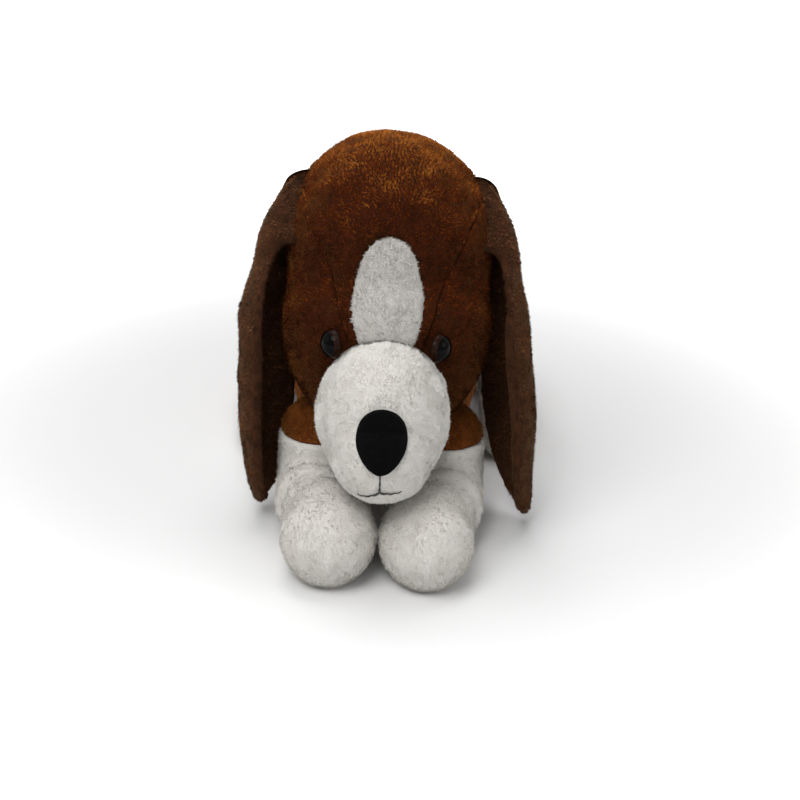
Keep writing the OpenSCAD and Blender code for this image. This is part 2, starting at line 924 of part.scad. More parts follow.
muzzle_panel();
blaze_panel();
forehead_panel();
cheek_panel_left();
cheek_panel_right();
head_back_panel();
throat_panel();
head_filling();
nose();
mouth_stitches();
eye_left();
eye_right();
eye_washer_left();
eye_washer_right();
ear_outer_left();
ear_inner_left();
ear_outer_right();
ear_inner_right();
chest_panel();
back_panel_left();
back_panel_right();
belly_panel();
torso_filling();
closing_stitches();
shoulder_sleeve_left();
foreleg_outer_left();
foreleg_inner_left();
foreleg_filling_left();
shoulder_sleeve_right();
foreleg_outer_right();
foreleg_inner_right();
foreleg_filling_right();
thigh_outer_left();
thigh_inner_left();
foot_left();
hindleg_filling_left();
thigh_outer_right();
thigh_inner_right();
foot_right();
hindleg_filling_right();
tail_sleeve();
tail_tip();
tail_filling();
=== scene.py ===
"""Looks of a stuffed plush hound that lies on its belly.

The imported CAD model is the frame. Every panel of plush is cut again here as a fine sheet whose
edges tuck in where it is sewn, with a short pile of separate tufts. Sizes are in millimetres until
a mesh is made, and the dog faces -Y with its left side at +X.
"""

import json
import logging
import math
from dataclasses import dataclass, field
from enum import Enum
from typing import Callable

import bpy
import numpy as np
from mathutils import Matrix, Vector


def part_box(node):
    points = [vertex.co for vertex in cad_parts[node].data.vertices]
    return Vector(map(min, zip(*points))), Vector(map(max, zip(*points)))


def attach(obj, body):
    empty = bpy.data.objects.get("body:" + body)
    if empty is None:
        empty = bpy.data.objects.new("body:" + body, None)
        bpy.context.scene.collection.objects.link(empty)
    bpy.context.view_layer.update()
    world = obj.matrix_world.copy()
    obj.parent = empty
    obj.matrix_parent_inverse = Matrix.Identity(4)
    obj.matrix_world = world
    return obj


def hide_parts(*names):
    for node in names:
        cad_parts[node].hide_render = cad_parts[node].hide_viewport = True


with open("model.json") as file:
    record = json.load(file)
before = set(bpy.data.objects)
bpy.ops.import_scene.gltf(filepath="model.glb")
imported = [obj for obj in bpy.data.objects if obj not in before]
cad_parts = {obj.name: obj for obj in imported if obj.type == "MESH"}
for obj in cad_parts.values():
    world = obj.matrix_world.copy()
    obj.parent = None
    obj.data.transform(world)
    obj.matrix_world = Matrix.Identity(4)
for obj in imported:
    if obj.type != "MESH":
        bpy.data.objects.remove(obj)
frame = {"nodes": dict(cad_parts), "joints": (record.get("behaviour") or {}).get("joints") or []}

Array = np.ndarray
Form = Callable[[Array, Array, float], Array]
Place = Callable[[Array, Array], tuple[Array, Array]]

LOG = logging.getLogger("plush_hound")
MM = 0.001


# ---------------------------------------------------------------- small functions


def unit(v: Array) -> Array:
    """Scales vectors to length one.

    Args:
        v: Vectors along the last axis.

    Returns:
        The scaled vectors.
    """
    return v / np.maximum(np.linalg.norm(v, axis=-1, keepdims=True), 1e-12)


def lerp(a: Array | float, b: Array | float, t: Array | float) -> Array | float:
    """Goes a share of the way from one value to another.

    Args:
        a: The first value.
        b: The second value.
        t: The share.

    Returns:
        The value between them.
    """
    return a + (b - a) * t


def ramp(t: Array | float) -> Array:
    """Rises smoothly from 0 to 1.

    Args:
        t: Where on the rise, from 0 to 1.

    Returns:
        The heights.
    """
    c = np.clip(t, 0.0, 1.0)
    return c * c * (3 - 2 * c)


def dome(t: Array, r: float | Array) -> Array:
    """Works out the height of a dome.

    Args:
        t: Distances from its middle.
        r: Its radius.

    Returns:
        Heights as shares of the radius.
    """
    return np.sqrt(np.clip(1 - (t / r) ** 2, 0.0, 1.0))


def soft_max(a: Array, b: Array, sharp: float) -> Array:
    """Takes the larger of two lengths, with a fillet where they are equal.

    Args:
        a: One length.
        b: The other length.
        sharp: How sharp the fillet is.

    Returns:
        The lengths.
    """
    return (np.maximum(a, 0) ** sharp + np.maximum(b, 0) ** sharp) ** (1 / sharp)


def dot(a: Array, b: Array) -> Array:
    """Multiplies vectors.

    Args:
        a: Vectors along the last axis.
        b: The other vectors.

    Returns:
        Their products, with the last axis kept.
    """
    return (a * b).sum(-1, keepdims=True)


def joint_place(name: str) -> Array:
    """Returns where a joint of the frame is.

    Args:
        name: The joint's name.

    Returns:
        Its point in millimetres.
    """
    found = next(j for j in frame["joints"] if j["name"] == name)
    return np.array(found["pos_m"], float) / MM


@dataclass(frozen=True)
class Waves:
    """A smooth field of random plane waves, for lumps and for the lie of the pile."""

    length: float
    seed: int
    count: int = 14

    def at(self, p: Array) -> Array:
        """Returns the field's height at points p.

        Args:
            p: Points in millimetres.

        Returns:
            Heights, most of them from -1 to 1.
        """
        rng = np.random.default_rng(self.seed)
        ways = unit(rng.normal(size=(self.count, 3)))
        waves = ways * (2 * math.pi / self.length) * rng.uniform(0.6, 1.5, (self.count, 1))
        phase = rng.uniform(0, 2 * math.pi, self.count)
        total = np.zeros(p.shape[:-1])
        for k, shift in zip(waves, phase):
            total += np.sin(p @ k + shift)
        return total / math.sqrt(self.count / 2) * 0.7


# ---------------------------------------------------------------- finishes


def from_hex(code: str) -> tuple[float, float, float, float]:
    """Turns an sRGB hex colour to linear.

    Args:
        code: A colour such as "#6b3310".

    Returns:
        Linear red, green, blue and an alpha of one.
    """
    parts = [int(code[i : i + 2], 16) / 255 for i in (1, 3, 5)]
    flat = [c / 12.92 if c <= 0.04045 else ((c + 0.055) / 1.055) ** 2.4 for c in parts]
    return (flat[0], flat[1], flat[2], 1.0)


def add(tree: bpy.types.NodeTree, kind: str, settings: dict, links: dict) -> bpy.types.Node:
    """Adds a node with its settings and links.

    Args:
        tree: The node tree.
        kind: The node's Blender type.
        settings: Attribute names, or input names or numbers, with their values.
        links: Input names or numbers, each with the output that feeds it.

    Returns:
        The node.
    """
    node = tree.nodes.new(kind)
    for name, value in settings.items():
        if isinstance(name, str) and hasattr(node, name):
            setattr(node, name, value)
        else:
            node.inputs[name].default_value = value
    for name, source in links.items():
        tree.links.new(source, node.inputs[name])
    return node


def new_material(name: str) -> tuple[bpy.types.Material, bpy.types.NodeTree]:
    """Makes an empty material.

    Args:
        name: Its name.

    Returns:
        The material and its tree.
    """
    material = bpy.data.materials.new(name)
    material.use_nodes = True
    material.node_tree.nodes.clear()
    return material, material.node_tree


def pattern(tree: bpy.types.NodeTree, kind: str, settings: dict) -> bpy.types.NodeSocket:
    """Adds a pattern that lies fixed in its piece.

    Args:
        tree: The node tree.
        kind: The pattern's Blender type.
        settings: Its settings, as for a node.

    Returns:
        The pattern's value.
    """
    place = add(tree, "ShaderNodeTexCoord", {}, {})
    return add(tree, kind, settings, {"Vector": place.outputs["Object"]}).outputs["Fac"]


def clouds(
    tree: bpy.types.NodeTree, size: float, detail: float, roughness: float = 0.5
) -> bpy.types.NodeSocket:
    """Adds soft clouds.

    Args:
        tree: The node tree.
        size: The width of one cloud in millimetres.
        detail: How many finer layers it has.
        roughness: How strong the finer layers are.

    Returns:
        The pattern's value.
    """
    settings = {"Scale": 1 / (size * MM), "Detail": detail, "Roughness": roughness}
    return pattern(tree, "ShaderNodeTexNoise", settings)


def two_tones(
    tree: bpy.types.NodeTree,
    source: bpy.types.NodeSocket,
    tones: tuple[str, str],
    span: tuple[float, float] = (0.0, 1.0),
) -> bpy.types.NodeSocket:
    """Colours a pattern with two tones.

    Args:
        tree: The node tree.
        source: The pattern's value.
        tones: The colours of its low and high places.
        span: The values at which the low tone ends and the high one begins.

    Returns:
        The colour.
    """
    node = add(tree, "ShaderNodeValToRGB", {}, {"Fac": source})
    for element, at, tone in zip(node.color_ramp.elements, span, tones):
        element.position = at
        element.color = from_hex(tone)
    return node.outputs["Color"]


def raised(
    tree: bpy.types.NodeTree, source: bpy.types.NodeSocket, strength: float, height: float
) -> bpy.types.NodeSocket:
    """Raises a pattern as fine relief.

    Args:
        tree: The node tree.
        source: The pattern's value.
        strength: How strongly it shows.
        height: Its height in millimetres.

    Returns:
        The bent normals.
    """
    settings = {"Strength": strength, "Distance": height * MM}
    return add(tree, "ShaderNodeBump", settings, {"Height": source}).outputs["Normal"]


def give_surface(tree: bpy.types.NodeTree, settings: dict, links: dict) -> None:
    """Ends a material with its surface.

    Args:
        tree: The node tree.
        settings: The surface's settings.
        links: Its inputs, each with the output that feeds it.
    """
    shader = add(tree, "ShaderNodeBsdfPrincipled", settings, links)
    add(tree, "ShaderNodeOutputMaterial", {}, {"Surface": shader.outputs["BSDF"]})


@dataclass(frozen=True)
class PlushFinish:
    """Knitted polyester plush with a short sheared pile.

    Each patch of pile is mottled at random, and its rim glows in the colour of the sheen. lift is
    painted top light and side shade: how much paler the pile is painted where it faces up than
    where it faces sideways or down. clump is how strongly the tufts cling together in bundles: long
    pile does, short pile hardly. It also sets how deep the painted shade in the gaps between
    bundles is. pile, tuft and bundle are the length of a tuft, its width and the width of a bundle
    in millimetres, and inset is how far the backing lies under the surface.
    """

    name: str
    shades: tuple[str, str, str, str]
    backing: str
    sheen: str
    sheen_weight: float
    pile: float = 1.35
    tuft: float = 0.42
    bundle: float = 2.0
    clump: float = 1.0
    lift: float = 0.0
    inset: float = 0.9
    steps: int = 10

    def backing_material(self) -> bpy.types.Material:
        """Returns the knitted backing, which shows as shade between the tufts."""
        material, tree = new_material(f"{self.name}_knit_backing")
        # Clumps of pile are about 4 mm across, and rows of the knit about 0.8 mm apart.
        clump = clouds(tree, 4.0, 3.0, 0.6)
        knit = clouds(tree, 0.8, 2.0)
        give_surface(
            tree,
            {
                "Roughness": 0.95,
                "Specular IOR Level": 0.1,
                "Sheen Weight": self.sheen_weight * 0.6,
                "Sheen Roughness": 0.5,
                "Sheen Tint": from_hex(self.sheen),
            },
            {
                "Base Color": two_tones(tree, clump, (self.backing, self.shades[1]), (0.3, 0.75)),
                "Normal": raised(tree, knit, 0.7, 0.6),
            },
        )
        return material

    def pile_materials(self) -> list[bpy.types.Material]:
        """Returns the pile's colour steps, darkest to palest, picked per tuft for tone and painted
        shade.
        """
        made = []
        known = np.array([from_hex(shade) for shade in self.shades])
        steps = np.linspace(0, len(known) - 1, self.steps)
        mixed = [np.interp(steps, range(len(known)), channel) for channel in known.T]
        for number, colour in enumerate(zip(*mixed)):
            material, tree = new_material(f"{self.name}_pile_{number}")
            give_surface(
                tree,
                {
                    "Base Color": colour,
                    "Roughness": 0.75,
                    "Specular IOR Level": 0.05,
                    "Sheen Weight": self.sheen_weight,
                    "Sheen Roughness": 0.45,
                    "Sheen Tint": from_hex(self.sheen),
                },
                {},
            )
            made.append(material)
        return made


# lift paints top light and side shade into the pile: paler where it faces up, darker on the sides.
CHESTNUT = PlushFinish(
    "chestnut_plush", ("#230b02", "#421706", "#6e330e", "#ad6829"), "#1c0902", "#ffa850", 0.38,
    lift=2.0, clump=0.8,
)
# A small lift paints a little top light and side shade into the ear's pile.
EAR_BROWN = PlushFinish(
    "ear_plush", ("#301a0f", "#4a2b1a", "#684228", "#8e6242"), "#22120a", "#c09468", 0.45,
    lift=0.4,
)
TAN = PlushFinish(
    "tan_plush", ("#5a2c0c", "#703a13", "#8a501f", "#a76c32"), "#421f08", "#ffb864", 0.35,
    clump=0.8,
)
WHITE = PlushFinish(
    "white_plush", ("#d8d5cf", "#dfdcd6", "#e4e2dd", "#e9e7e3"), "#e4e1db", "#ffffff", 0.08,
    clump=0.3,
)
# The blaze is the same plush as WHITE in darker steps with a darker backing: painted shade, so it
# looks a little greyer.
PAINTED_SHADE_WHITE = PlushFinish(
    "painted_shade_white_plush", ("#bcb9b3", "#c8c5bf", "#d1cec9", "#dad8d4"), "#c2bfba", "#ffffff", 0.08,
    clump=0.5,
)


@dataclass(frozen=True)
class FeltFinish:
    """Pressed black wool felt, flat cut: matte, with loose fibres that catch a little light."""

    name: str = "black_wool_felt"
    tones: tuple[str, str] = ("#030303", "#0e0e10")
    fibre_cloud: float = 0.7

    def material(self) -> bpy.types.Material:
        """Returns the felt."""
        material, tree = new_material(self.name)
        cloud = clouds(tree, self.fibre_cloud, 5.0, 0.75)
        give_surface(
            tree,
            {"Roughness": 0.95, "Specular IOR Level": 0.05, "Sheen Weight": 0.015},
            {
                "Base Color": two_tones(tree, cloud, self.tones, (0.42, 0.72)),
                "Normal": raised(tree, cloud, 0.8, 0.4),
            },
        )
        return material


@dataclass(frozen=True)
class ThreadFinish:
    """Twisted polyester sewing thread: fine slanting plies with a dull shine."""

    name: str
    tones: tuple[str, str]
    ply: float = 0.5

    def material(self) -> bpy.types.Material:
        """Returns the thread, whose plies are drawn a little wide so that they show."""
        material, tree = new_material(self.name)
        # The scale of a wave pattern counts about six bands to the unit.
        bands = 1 / (self.ply * MM) / 6
        settings = {"bands_direction": "DIAGONAL", "Scale": bands, "Distortion": 1.5}
        plies = pattern(tree, "ShaderNodeTexWave", settings)
        give_surface(
            tree,
            {"Roughness": 0.6, "Sheen Weight": 0.2},
            {
                "Base Color": two_tones(tree, plies, self.tones),
                "Normal": raised(tree, plies, 0.6, 0.15),
            },
        )
        return material


@dataclass(frozen=True)
class MouldedFinish:
    """Injection-moulded plastic, from polished to satin, with a faint flow mottle."""

    name: str
    tones: tuple[str, str]
    roughness: float
    shine: float
    mottle: float = 2.0

    def material(self) -> bpy.types.Material:
        """Returns the plastic."""
        material, tree = new_material(self.name)
        flow = clouds(tree, self.mottle, 2.0)
        give_surface(
            tree,
            {"Roughness": self.roughness, "Specular IOR Level": self.shine},
            {"Base Color": two_tones(tree, flow, self.tones, (0.35, 0.8))},
        )
        return material


@dataclass(frozen=True)
class StuffingFinish:
    """Loose polyester fibrefill: white, soft and cloudy."""

    name: str = "polyester_fibrefill"
    tones: tuple[str, str] = ("#cfcfca", "#f1f1ee")
    tuft: float = 6.0

    def material(self) -> bpy.types.Material:
        """Returns the stuffing."""
        material, tree = new_material(self.name)
        cloud = clouds(tree, self.tuft, 6.0, 0.7)
        give_surface(
            tree,
            {"Roughness": 1.0, "Sheen Weight": 0.4},
            {"Base Color": two_tones(tree, cloud, self.tones)},
        )
        return material


# ---------------------------------------------------------------- meshes


def make_mesh(
    name: str, points: Array, faces: list | Array, smooth: bool = True
) -> bpy.types.Object:
    """Makes a mesh object from points in millimetres.

    Args:
        name: The object's name.
        points: Points, one a row.
        faces: Faces as rows of point numbers, all with the same count of corners.
        smooth: Whether it is shaded smooth.

    Returns:
        The object, linked to the scene.
    """
    faces = np.asarray(faces, np.int32)
    corners = faces.shape[1]
    mesh = bpy.data.meshes.new(name)
    mesh.vertices.add(len(points))
    mesh.vertices.foreach_set("co", (points * MM).astype(np.float32).ravel())
    mesh.loops.add(faces.size)
    mesh.loops.foreach_set("vertex_index", faces.ravel())
    mesh.polygons.add(len(faces))
    mesh.polygons.foreach_set("loop_start", np.arange(0, faces.size, corners, dtype=np.int32))
    mesh.polygons.foreach_set("use_smooth", np.full(len(faces), smooth))
    mesh.update(calc_edges=True)
    mesh.validate()
    made = bpy.data.objects.new(name, mesh)
    bpy.context.scene.collection.objects.link(made)
    return made


def grid_quads(rows: int, columns: int, closed: bool, flip: bool) -> Array:
    """Numbers the quads of a grid of points.

    Args:
        rows: Rows of points.
        columns: Points in a row.
        closed: Whether each row is a ring.
        flip: Whether the faces turn the other way.

    Returns:
        Four point numbers a row.
    """
    i, j = np.meshgrid(
        np.arange(rows - 1), np.arange(columns if closed else columns - 1), indexing="ij"
    )
    a, b = i * columns + j, i * columns + (j + 1) % columns
    quads = np.stack([a, b, b + columns, a + columns], -1).reshape(-1, 4)
    return quads[:, ::-1] if flip else quads


def thread_tube(path: Array, side: Array, up: Array, r: Array, corners: int) -> Array:
    """Lays a ring of points round each point of a thread.

    Args:
        path: The thread's middle line.
        side: Directions across it.
        up: Directions across it, square to side.
        r: Its radius at each point.
        corners: Points in a ring.

    Returns:
        The points, one a row.
    """
    turn = np.linspace(0, 2 * math.pi, corners, endpoint=False)[None, :, None]
    ring = side[:, None] * np.cos(turn) + up[:, None] * np.sin(turn)
    return (path[:, None] + ring * r[:, None, None]).reshape(-1, 3)


class Edge(Enum):
    """An edge of a panel, by its own coordinates (s, t)."""

    START = "s = 0"
    END = "s = 1"
    LEFT = "t = 0"
    RIGHT = "t = 1"


class Side(Enum):
    """A side of the dog, by the sign of X."""

    LEFT = 1
    RIGHT = -1


@dataclass(frozen=True)
class PileHabit:
    """How the tufts of every pile grow.

    stray and roll are how far single tufts leave the nap, stand is their angle above the surface in
    degrees, and uneven, long and wide are how their lengths and widths vary. worn is how much
    shorter they are at a seam, rooted how deep they start in millimetres, and gather how far they
    lean to the middle of their bundle. gap_shade paints shade into the gaps between bundles and
    light onto their middles, and seam_shade paints shade along the seams. shades is the shade at
    which the darkest and the palest step begin.
    """

    stray: float = 0.2
    roll: float = 0.25
    stand: float = 46.0
    uneven: float = 0.25
    long: tuple[float, float] = (0.75, 1.2)
    wide: tuple[float, float] = (0.7, 1.3)
    worn: float = 0.45
    rooted: float = 0.25
    gather: float = 0.6
    gap_shade: float = 1.7
    seam_shade: float = 1.6
    shades: float = 1.3


HABIT = PileHabit()
DENSITY = 1.0


Relief = Callable[[Array], Array]
Bare = Callable[[Array], Array]


@dataclass
class Pelt:
    """One panel of plush, cut from a form.

    place gives the panel's own (u, a) on the form for its (s, t). sewn names the edges that tuck
    in. nap is the way the pile lies. step is the spacing of the backing's points in millimetres,
    and density the tufts on a square millimetre. tuck and pucker are how deep the sewn edges tuck
    in and how high they gather, and seam_shade how wide the band along them is where the pile is
    shorter and painted shade darkens it. relief moves the surface, and bare says where no pile
    grows.
    """

    node: str
    body: str
    finish: PlushFinish
    slot: str
    form: Form
    place: Place
    sewn: tuple[Edge, ...]
    nap: tuple[float, float, float]
    closed: bool = False
    side: Side = Side.LEFT
    step: float = 1.3
    density: float = 1.6
    tuck: float = 1.5
    pucker: float = 0.35
    seam_shade: float = 1.1
    relief: Relief | None = None
    bare: Bare | None = None
    seed: int = 1

    def surface(self) -> tuple[Array, Array, float]:
        """Works out the panel's points and normals.

        Returns:
            A grid of points, their normals, and 1 or -1 for the way the faces turn.
        """
        rows, columns = self.counts()
        s, t = np.meshgrid(
            np.linspace(0, 1, rows),
            np.linspace(0, 1, columns, endpoint=not self.closed),
            indexing="ij",
        )
        u, a = self.place(s, t)
        p = self.form(u, a, self.finish.inset)
        deeper = 0.8
        inner = self.form(u, a, self.finish.inset + deeper)
        normal, turn = self.normals(p, inner)
        p = self.shaped(p, normal)
        normal, turn = self.normals(p, inner)
        return p, normal, turn

    def counts(self) -> tuple[int, int]:
        """Returns the rows and columns that keep the grid near its step."""
        s, t = np.meshgrid(np.linspace(0, 1, 15), np.linspace(0, 1, 15), indexing="ij")
        p = self.form(*self.place(s, t), 0.0)
        down = np.linalg.norm(np.diff(p, axis=0), axis=-1).sum(0).max()
        across = np.linalg.norm(np.diff(p, axis=1), axis=-1).sum(1).max()
        return max(6, int(down / self.step)), max(8, int(across / self.step))

    def normals(self, p: Array, inner: Array) -> tuple[Array, float]:
        """Works out normals that point out of the form.

        Args:
            p: The grid of points.
            inner: The same points a little deeper.

        Returns:
            The normals, and 1 or -1 for the way the faces turn.
        """
        down = np.gradient(p, axis=0)
        if self.closed:
            across = (np.roll(p, -1, 1) - np.roll(p, 1, 1)) / 2
        else:
            across = np.gradient(p, axis=1)
        n = np.cross(across, down)
        size = np.linalg.norm(n, axis=-1, keepdims=True)
        n = unit(n)
        thin = size[..., 0] < 1e-6
        if thin.any():
            n[thin] = unit(p - inner)[thin]
        turn = 1.0 if float((n * (p - inner)).sum()) > 0 else -1.0
        n = n * turn
        if self.closed:
            for row, near in ((0, 1), (-1, -2)):
                ring = p[row]
                if np.linalg.norm(ring - ring.mean(0), axis=-1).max() < 2.5:
                    n[row] = unit(n[near].mean(0))[None]
        return n, turn

    def edge_distance(self, p: Array) -> Array:
        """Measures along the grid to the nearest sewn edge.

        Args:
            p: The grid of points.

        Returns:
            The distances in millimetres.
        """
        near = np.full(p.shape[:2], 1e3)
        down = np.linalg.norm(np.diff(p, axis=0), axis=-1)
        down = np.concatenate([np.zeros((1, p.shape[1])), np.cumsum(down, 0)])
        across = np.linalg.norm(np.diff(p, axis=1), axis=-1)
        across = np.concatenate([np.zeros((p.shape[0], 1)), np.cumsum(across, 1)], 1)
        options = {
            Edge.START: down,
            Edge.END: down[-1:] - down,
            Edge.LEFT: across,
            Edge.RIGHT: across[:, -1:] - across,
        }
        for edge in self.sewn:
            near = np.minimum(near, options[edge])
        return near

    def shaped(self, p: Array, normal: Array) -> Array:
        """Tucks the sewn edges in, and adds puckers, lumps and the relief.

        Args:
            p: The grid of points.
            normal: Their normals.

        Returns:
            The moved points.
        """
        near = self.edge_distance(p)
        width = 3.2
        tucked = self.tuck * (1 - dome(np.clip(width - near, 0, width), width * 1.0001))
        fold = Waves(7.0, 40 + self.seed).at(p) * self.pucker * np.exp(-((near / 6.0) ** 2))
        lump = Waves(34.0, 7).at(p) * 0.45 + Waves(13.0, 8).at(p) * 0.15
        move = lump * ramp(near / 10) - tucked + fold
        if self.relief:
            move = move + self.relief(p)
        moved = p + normal * move[..., None]
        moved[..., 2] = np.maximum(moved[..., 2], 0.3)
        return moved

    def skirt(self, p: Array, normal: Array) -> tuple[Array, Array]:
        """Adds the seam allowance, which turns in behind each sewn edge.

        Args:
            p: The grid of points.
            normal: Their normals.

        Returns:
            The larger grid and its normals.
        """
        turn_in, small_ring = 2.6, 7.0
        for edge, axis, at in (
            (Edge.START, 0, 0),
            (Edge.END, 0, -1),
            (Edge.LEFT, 1, 0),
            (Edge.RIGHT, 1, -1),
        ):
            if edge not in self.sewn or (self.closed and axis == 1):
                continue
            line = np.take(p, [at], axis)
            out = np.take(normal, [at], axis)
            line = line - out * turn_in
            line[..., 2] = np.maximum(line[..., 2], 0.4)
            parts = [line, p] if at == 0 else [p, line]
            sides = [out, normal] if at == 0 else [normal, out]
            p, normal = np.concatenate(parts, axis), np.concatenate(sides, axis)
        # The small ring at a round end is drawn together to a point.
        for edge, at in ((Edge.START, 0), (Edge.END, -1)):
            middle = p[at].mean(0)
            small = np.linalg.norm(p[at] - middle, axis=-1).max() < small_ring
            if self.closed and edge not in self.sewn and small:
                cap = np.repeat(middle[None, None], p.shape[1], 1)
                side = normal[[at]]
                p = np.concatenate([cap, p] if at == 0 else [p, cap])
                normal = np.concatenate([side, normal] if at == 0 else [normal, side])
        return p, normal

    def build(self) -> list[bpy.types.Object]:
        """Makes the backing and its pile, and puts them on the frame.

        Returns:
            The two pieces.
        """
        p, normal, turn = self.surface()
        mirror = np.array([float(self.side.value), 1.0, 1.0])
        whole, _ = self.skirt(p, normal)
        flip = (turn * self.side.value) < 0
        backing = make_mesh(
            f"{self.node}_backing",
            (whole * mirror).reshape(-1, 3),
            grid_quads(whole.shape[0], whole.shape[1], self.closed, flip),
        )
        backing.data.materials.append(BACKINGS.get(self.finish))
        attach(backing, self.body)
        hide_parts(self.node)
        pile = self.grow(p, normal, self.edge_distance(p), mirror)
        sizes = len(backing.data.polygons), len(pile.data.polygons)
        LOG.info("%s: %d faces, %d tufts", self.node, *sizes)
        return [backing, pile]

    def grow(self, p: Array, normal: Array, near: Array, mirror: Array) -> bpy.types.Object:
        """Grows the pile.

        Args:
            p: The grid of points.
            normal: Their normals.
            near: Their distances from the nearest sewn edge.
            mirror: Signs that put the panel on its own side.

        Returns:
            The pile, one three-sided tuft a face.
        """
        habit = HABIT
        rng = np.random.default_rng(1000 + self.seed + (500 if self.side is Side.RIGHT else 0))
        root, n, seam = self.planted(p, normal, near, rng)
        count = len(root)
        gather, bundle = self.bundles(root, n)
        along, stand = self.lie(root, n, bundle, rng)
        way = along * np.cos(stand) + n * np.sin(stand)
        roll = rng.normal(0, habit.roll, (count, 1))
        across = np.cross(n, along) * np.cos(roll) + n * np.sin(roll)
        long = self.finish.pile * (1 + habit.uneven * Waves(2.0, 24).at(root)[:, None])
        long = long * rng.uniform(*habit.long, (count, 1)) * (1 - habit.worn * seam)[:, None]
        wide = self.finish.tuft * rng.uniform(*habit.wide, (count, 1)) / 2
        low = root - n * habit.rooted
        tip = low + way * long + gather * habit.gather * self.finish.clump
        tufts = np.stack([low - across * wide, low + across * wide, tip], 1)
        tufts[..., 2] = np.maximum(tufts[..., 2], 0.08)
        faces = np.arange(count * 3).reshape(-1, 3)
        if self.side is Side.RIGHT:
            faces = faces[:, ::-1]
        tufts = (tufts * mirror).reshape(-1, 3)
        pile = make_mesh(f"{self.node}_pile", tufts, faces, smooth=False)
        for material in PILES.get(self.finish):
            pile.data.materials.append(material)
        spread = np.linalg.norm(gather, axis=-1) / self.finish.bundle
        # Patches and bundles differ a little at random. Painted shade darkens the gaps between
        # bundles
        # and the seams, painted light brightens the middles of bundles, and lift paints top light:
        # paler where the pile faces up, darker where it faces sideways or down.
        shade = Waves(14.0, 31).at(root) * 0.2 + bundle * 0.3
        shade = shade - habit.gap_shade * self.finish.clump * (spread - 0.38)
        shade = shade + rng.normal(0, 0.25, count) + self.finish.lift * (n[:, 2] - 0.55)
        shade = shade - habit.seam_shade * seam
        levels = len(pile.data.materials)
        share = (shade + habit.shades) / (2 * habit.shades)
        index = np.clip((share * levels).astype(int), 0, levels - 1)
        if len(pile.data.polygons) == count:
            pile.data.polygons.foreach_set("material_index", index.astype(np.int32))
        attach(pile, self.body)
        return pile

    def planted(
        self, p: Array, normal: Array, near: Array, rng: np.random.Generator
    ) -> tuple[Array, Array, Array]:
        """Chooses where the tufts stand, evenly over the panel.

        Args:
            p: The backing's points.
            normal: Their normals.
            near: Their distances from the nearest sewn edge.
            rng: The source of chance.

        Returns:
            The places, their normals, and how near to a seam each one is, from 0 to 1.
        """
        if self.closed:
            p, normal, near = (np.concatenate([g, g[:, :1]], 1) for g in (p, normal, near))
        edge_a, edge_b = p[1:, :-1] - p[:-1, :-1], p[:-1, 1:] - p[:-1, :-1]
        area = np.linalg.norm(np.cross(edge_a, edge_b), axis=-1)
        total = float(area.sum())
        count = int(total * self.density * DENSITY)
        cell = np.searchsorted(np.cumsum(area.ravel()) / total, rng.random(count))
        cell = np.minimum(cell, area.size - 1)
        i, j = np.unravel_index(cell, area.shape)
        fs, ft = rng.random((count, 1)), rng.random((count, 1))

        def between(grid: Array) -> Array:
            """Reads a grid at the chosen places.

            Args:
                grid: Values at the backing's points.

            Returns:
                Values at the places.
            """
            low = lerp(grid[i, j], grid[i, j + 1], ft)
            high = lerp(grid[i + 1, j], grid[i + 1, j + 1], ft)
            return lerp(low, high, fs)

        root, n = between(p), unit(between(normal))
        seam = np.exp(-((between(near[..., None])[:, 0] / self.seam_shade) ** 2))
        if self.bare is not None:
            keep = ~self.bare(root)
            root, n, seam = root[keep], n[keep], seam[keep]
        return root, n, seam

    def lie(
        self, root: Array, n: Array, bundle: Array, rng: np.random.Generator
    ) -> tuple[Array, Array]:
        """Lays the tufts along the nap, which swirls a little.

        Args:
            root: Where the tufts stand.
            n: The normals there.
            bundle: The shade of each one's bundle.
            rng: The source of chance.

        Returns:
            The way each tuft lies along the surface, and its angle above it in radians.
        """
        habit, count = HABIT, len(root)
        along = np.array(self.nap, float)[None] + habit.stray * rng.normal(size=(count, 3))
        along = unit(along - n * dot(along, n))
        # Broad and small swirls turn the nap, and each bundle stands at its own angle.
        turned = (Waves(16.0, 21).at(root) * 0.9 + Waves(6.0, 22).at(root) * 0.5)[:, None]
        along = along * np.cos(turned) + np.cross(n, along) * np.sin(turned)
        stand = habit.stand + 8 * Waves(8.0, 23).at(root) + 10 * bundle + rng.normal(0, 5, count)
        return along, np.radians(stand)[:, None]

    def bundles(self, root: Array, normal: Array) -> tuple[Array, Array]:
        """Gathers tufts into small bundles; grow paints shade into the gaps and light on the
        middles.

        Args:
            root: Where the tufts stand.
            normal: The normals there.

        Returns:
            The way from each root to the middle of its bundle, and the bundle's own shade.
        """
        size = self.finish.bundle
        bent = np.stack([Waves(4.0 * size, 50 + k).at(root) for k in range(3)], -1) * 0.6 * size
        cell = np.floor((root + bent) / size)
        inward = (cell + 0.5) * size - bent - root
        inward = inward - normal * dot(inward, normal)
        # A large sine of each bundle's own number gives it a shade that looks like chance.
        own = np.sin(cell @ np.array([12.9898, 78.233, 37.719])) * 43758.5453
        return inward, 2 * (own - np.floor(own)) - 1


class MaterialStore:
    """Keeps one set of materials for each finish."""

    def __init__(self, maker: Callable[[PlushFinish], object]) -> None:
        """Starts empty.

        Args:
            maker: The function that makes a finish's materials.
        """
        self.maker = maker
        self.made: dict[PlushFinish, object] = {}

    def get(self, finish: PlushFinish) -> object:
        """Looks up a finish, whose materials are made the first time.

        Args:
            finish: The finish.

        Returns:
            What the maker made of it.
        """
        if finish not in self.made:
            self.made[finish] = self.maker(finish)
        return self.made[finish]


BACKINGS = MaterialStore(PlushFinish.backing_material)
PILES = MaterialStore(PlushFinish.pile_materials)


# ---------------------------------------------------------------- forms


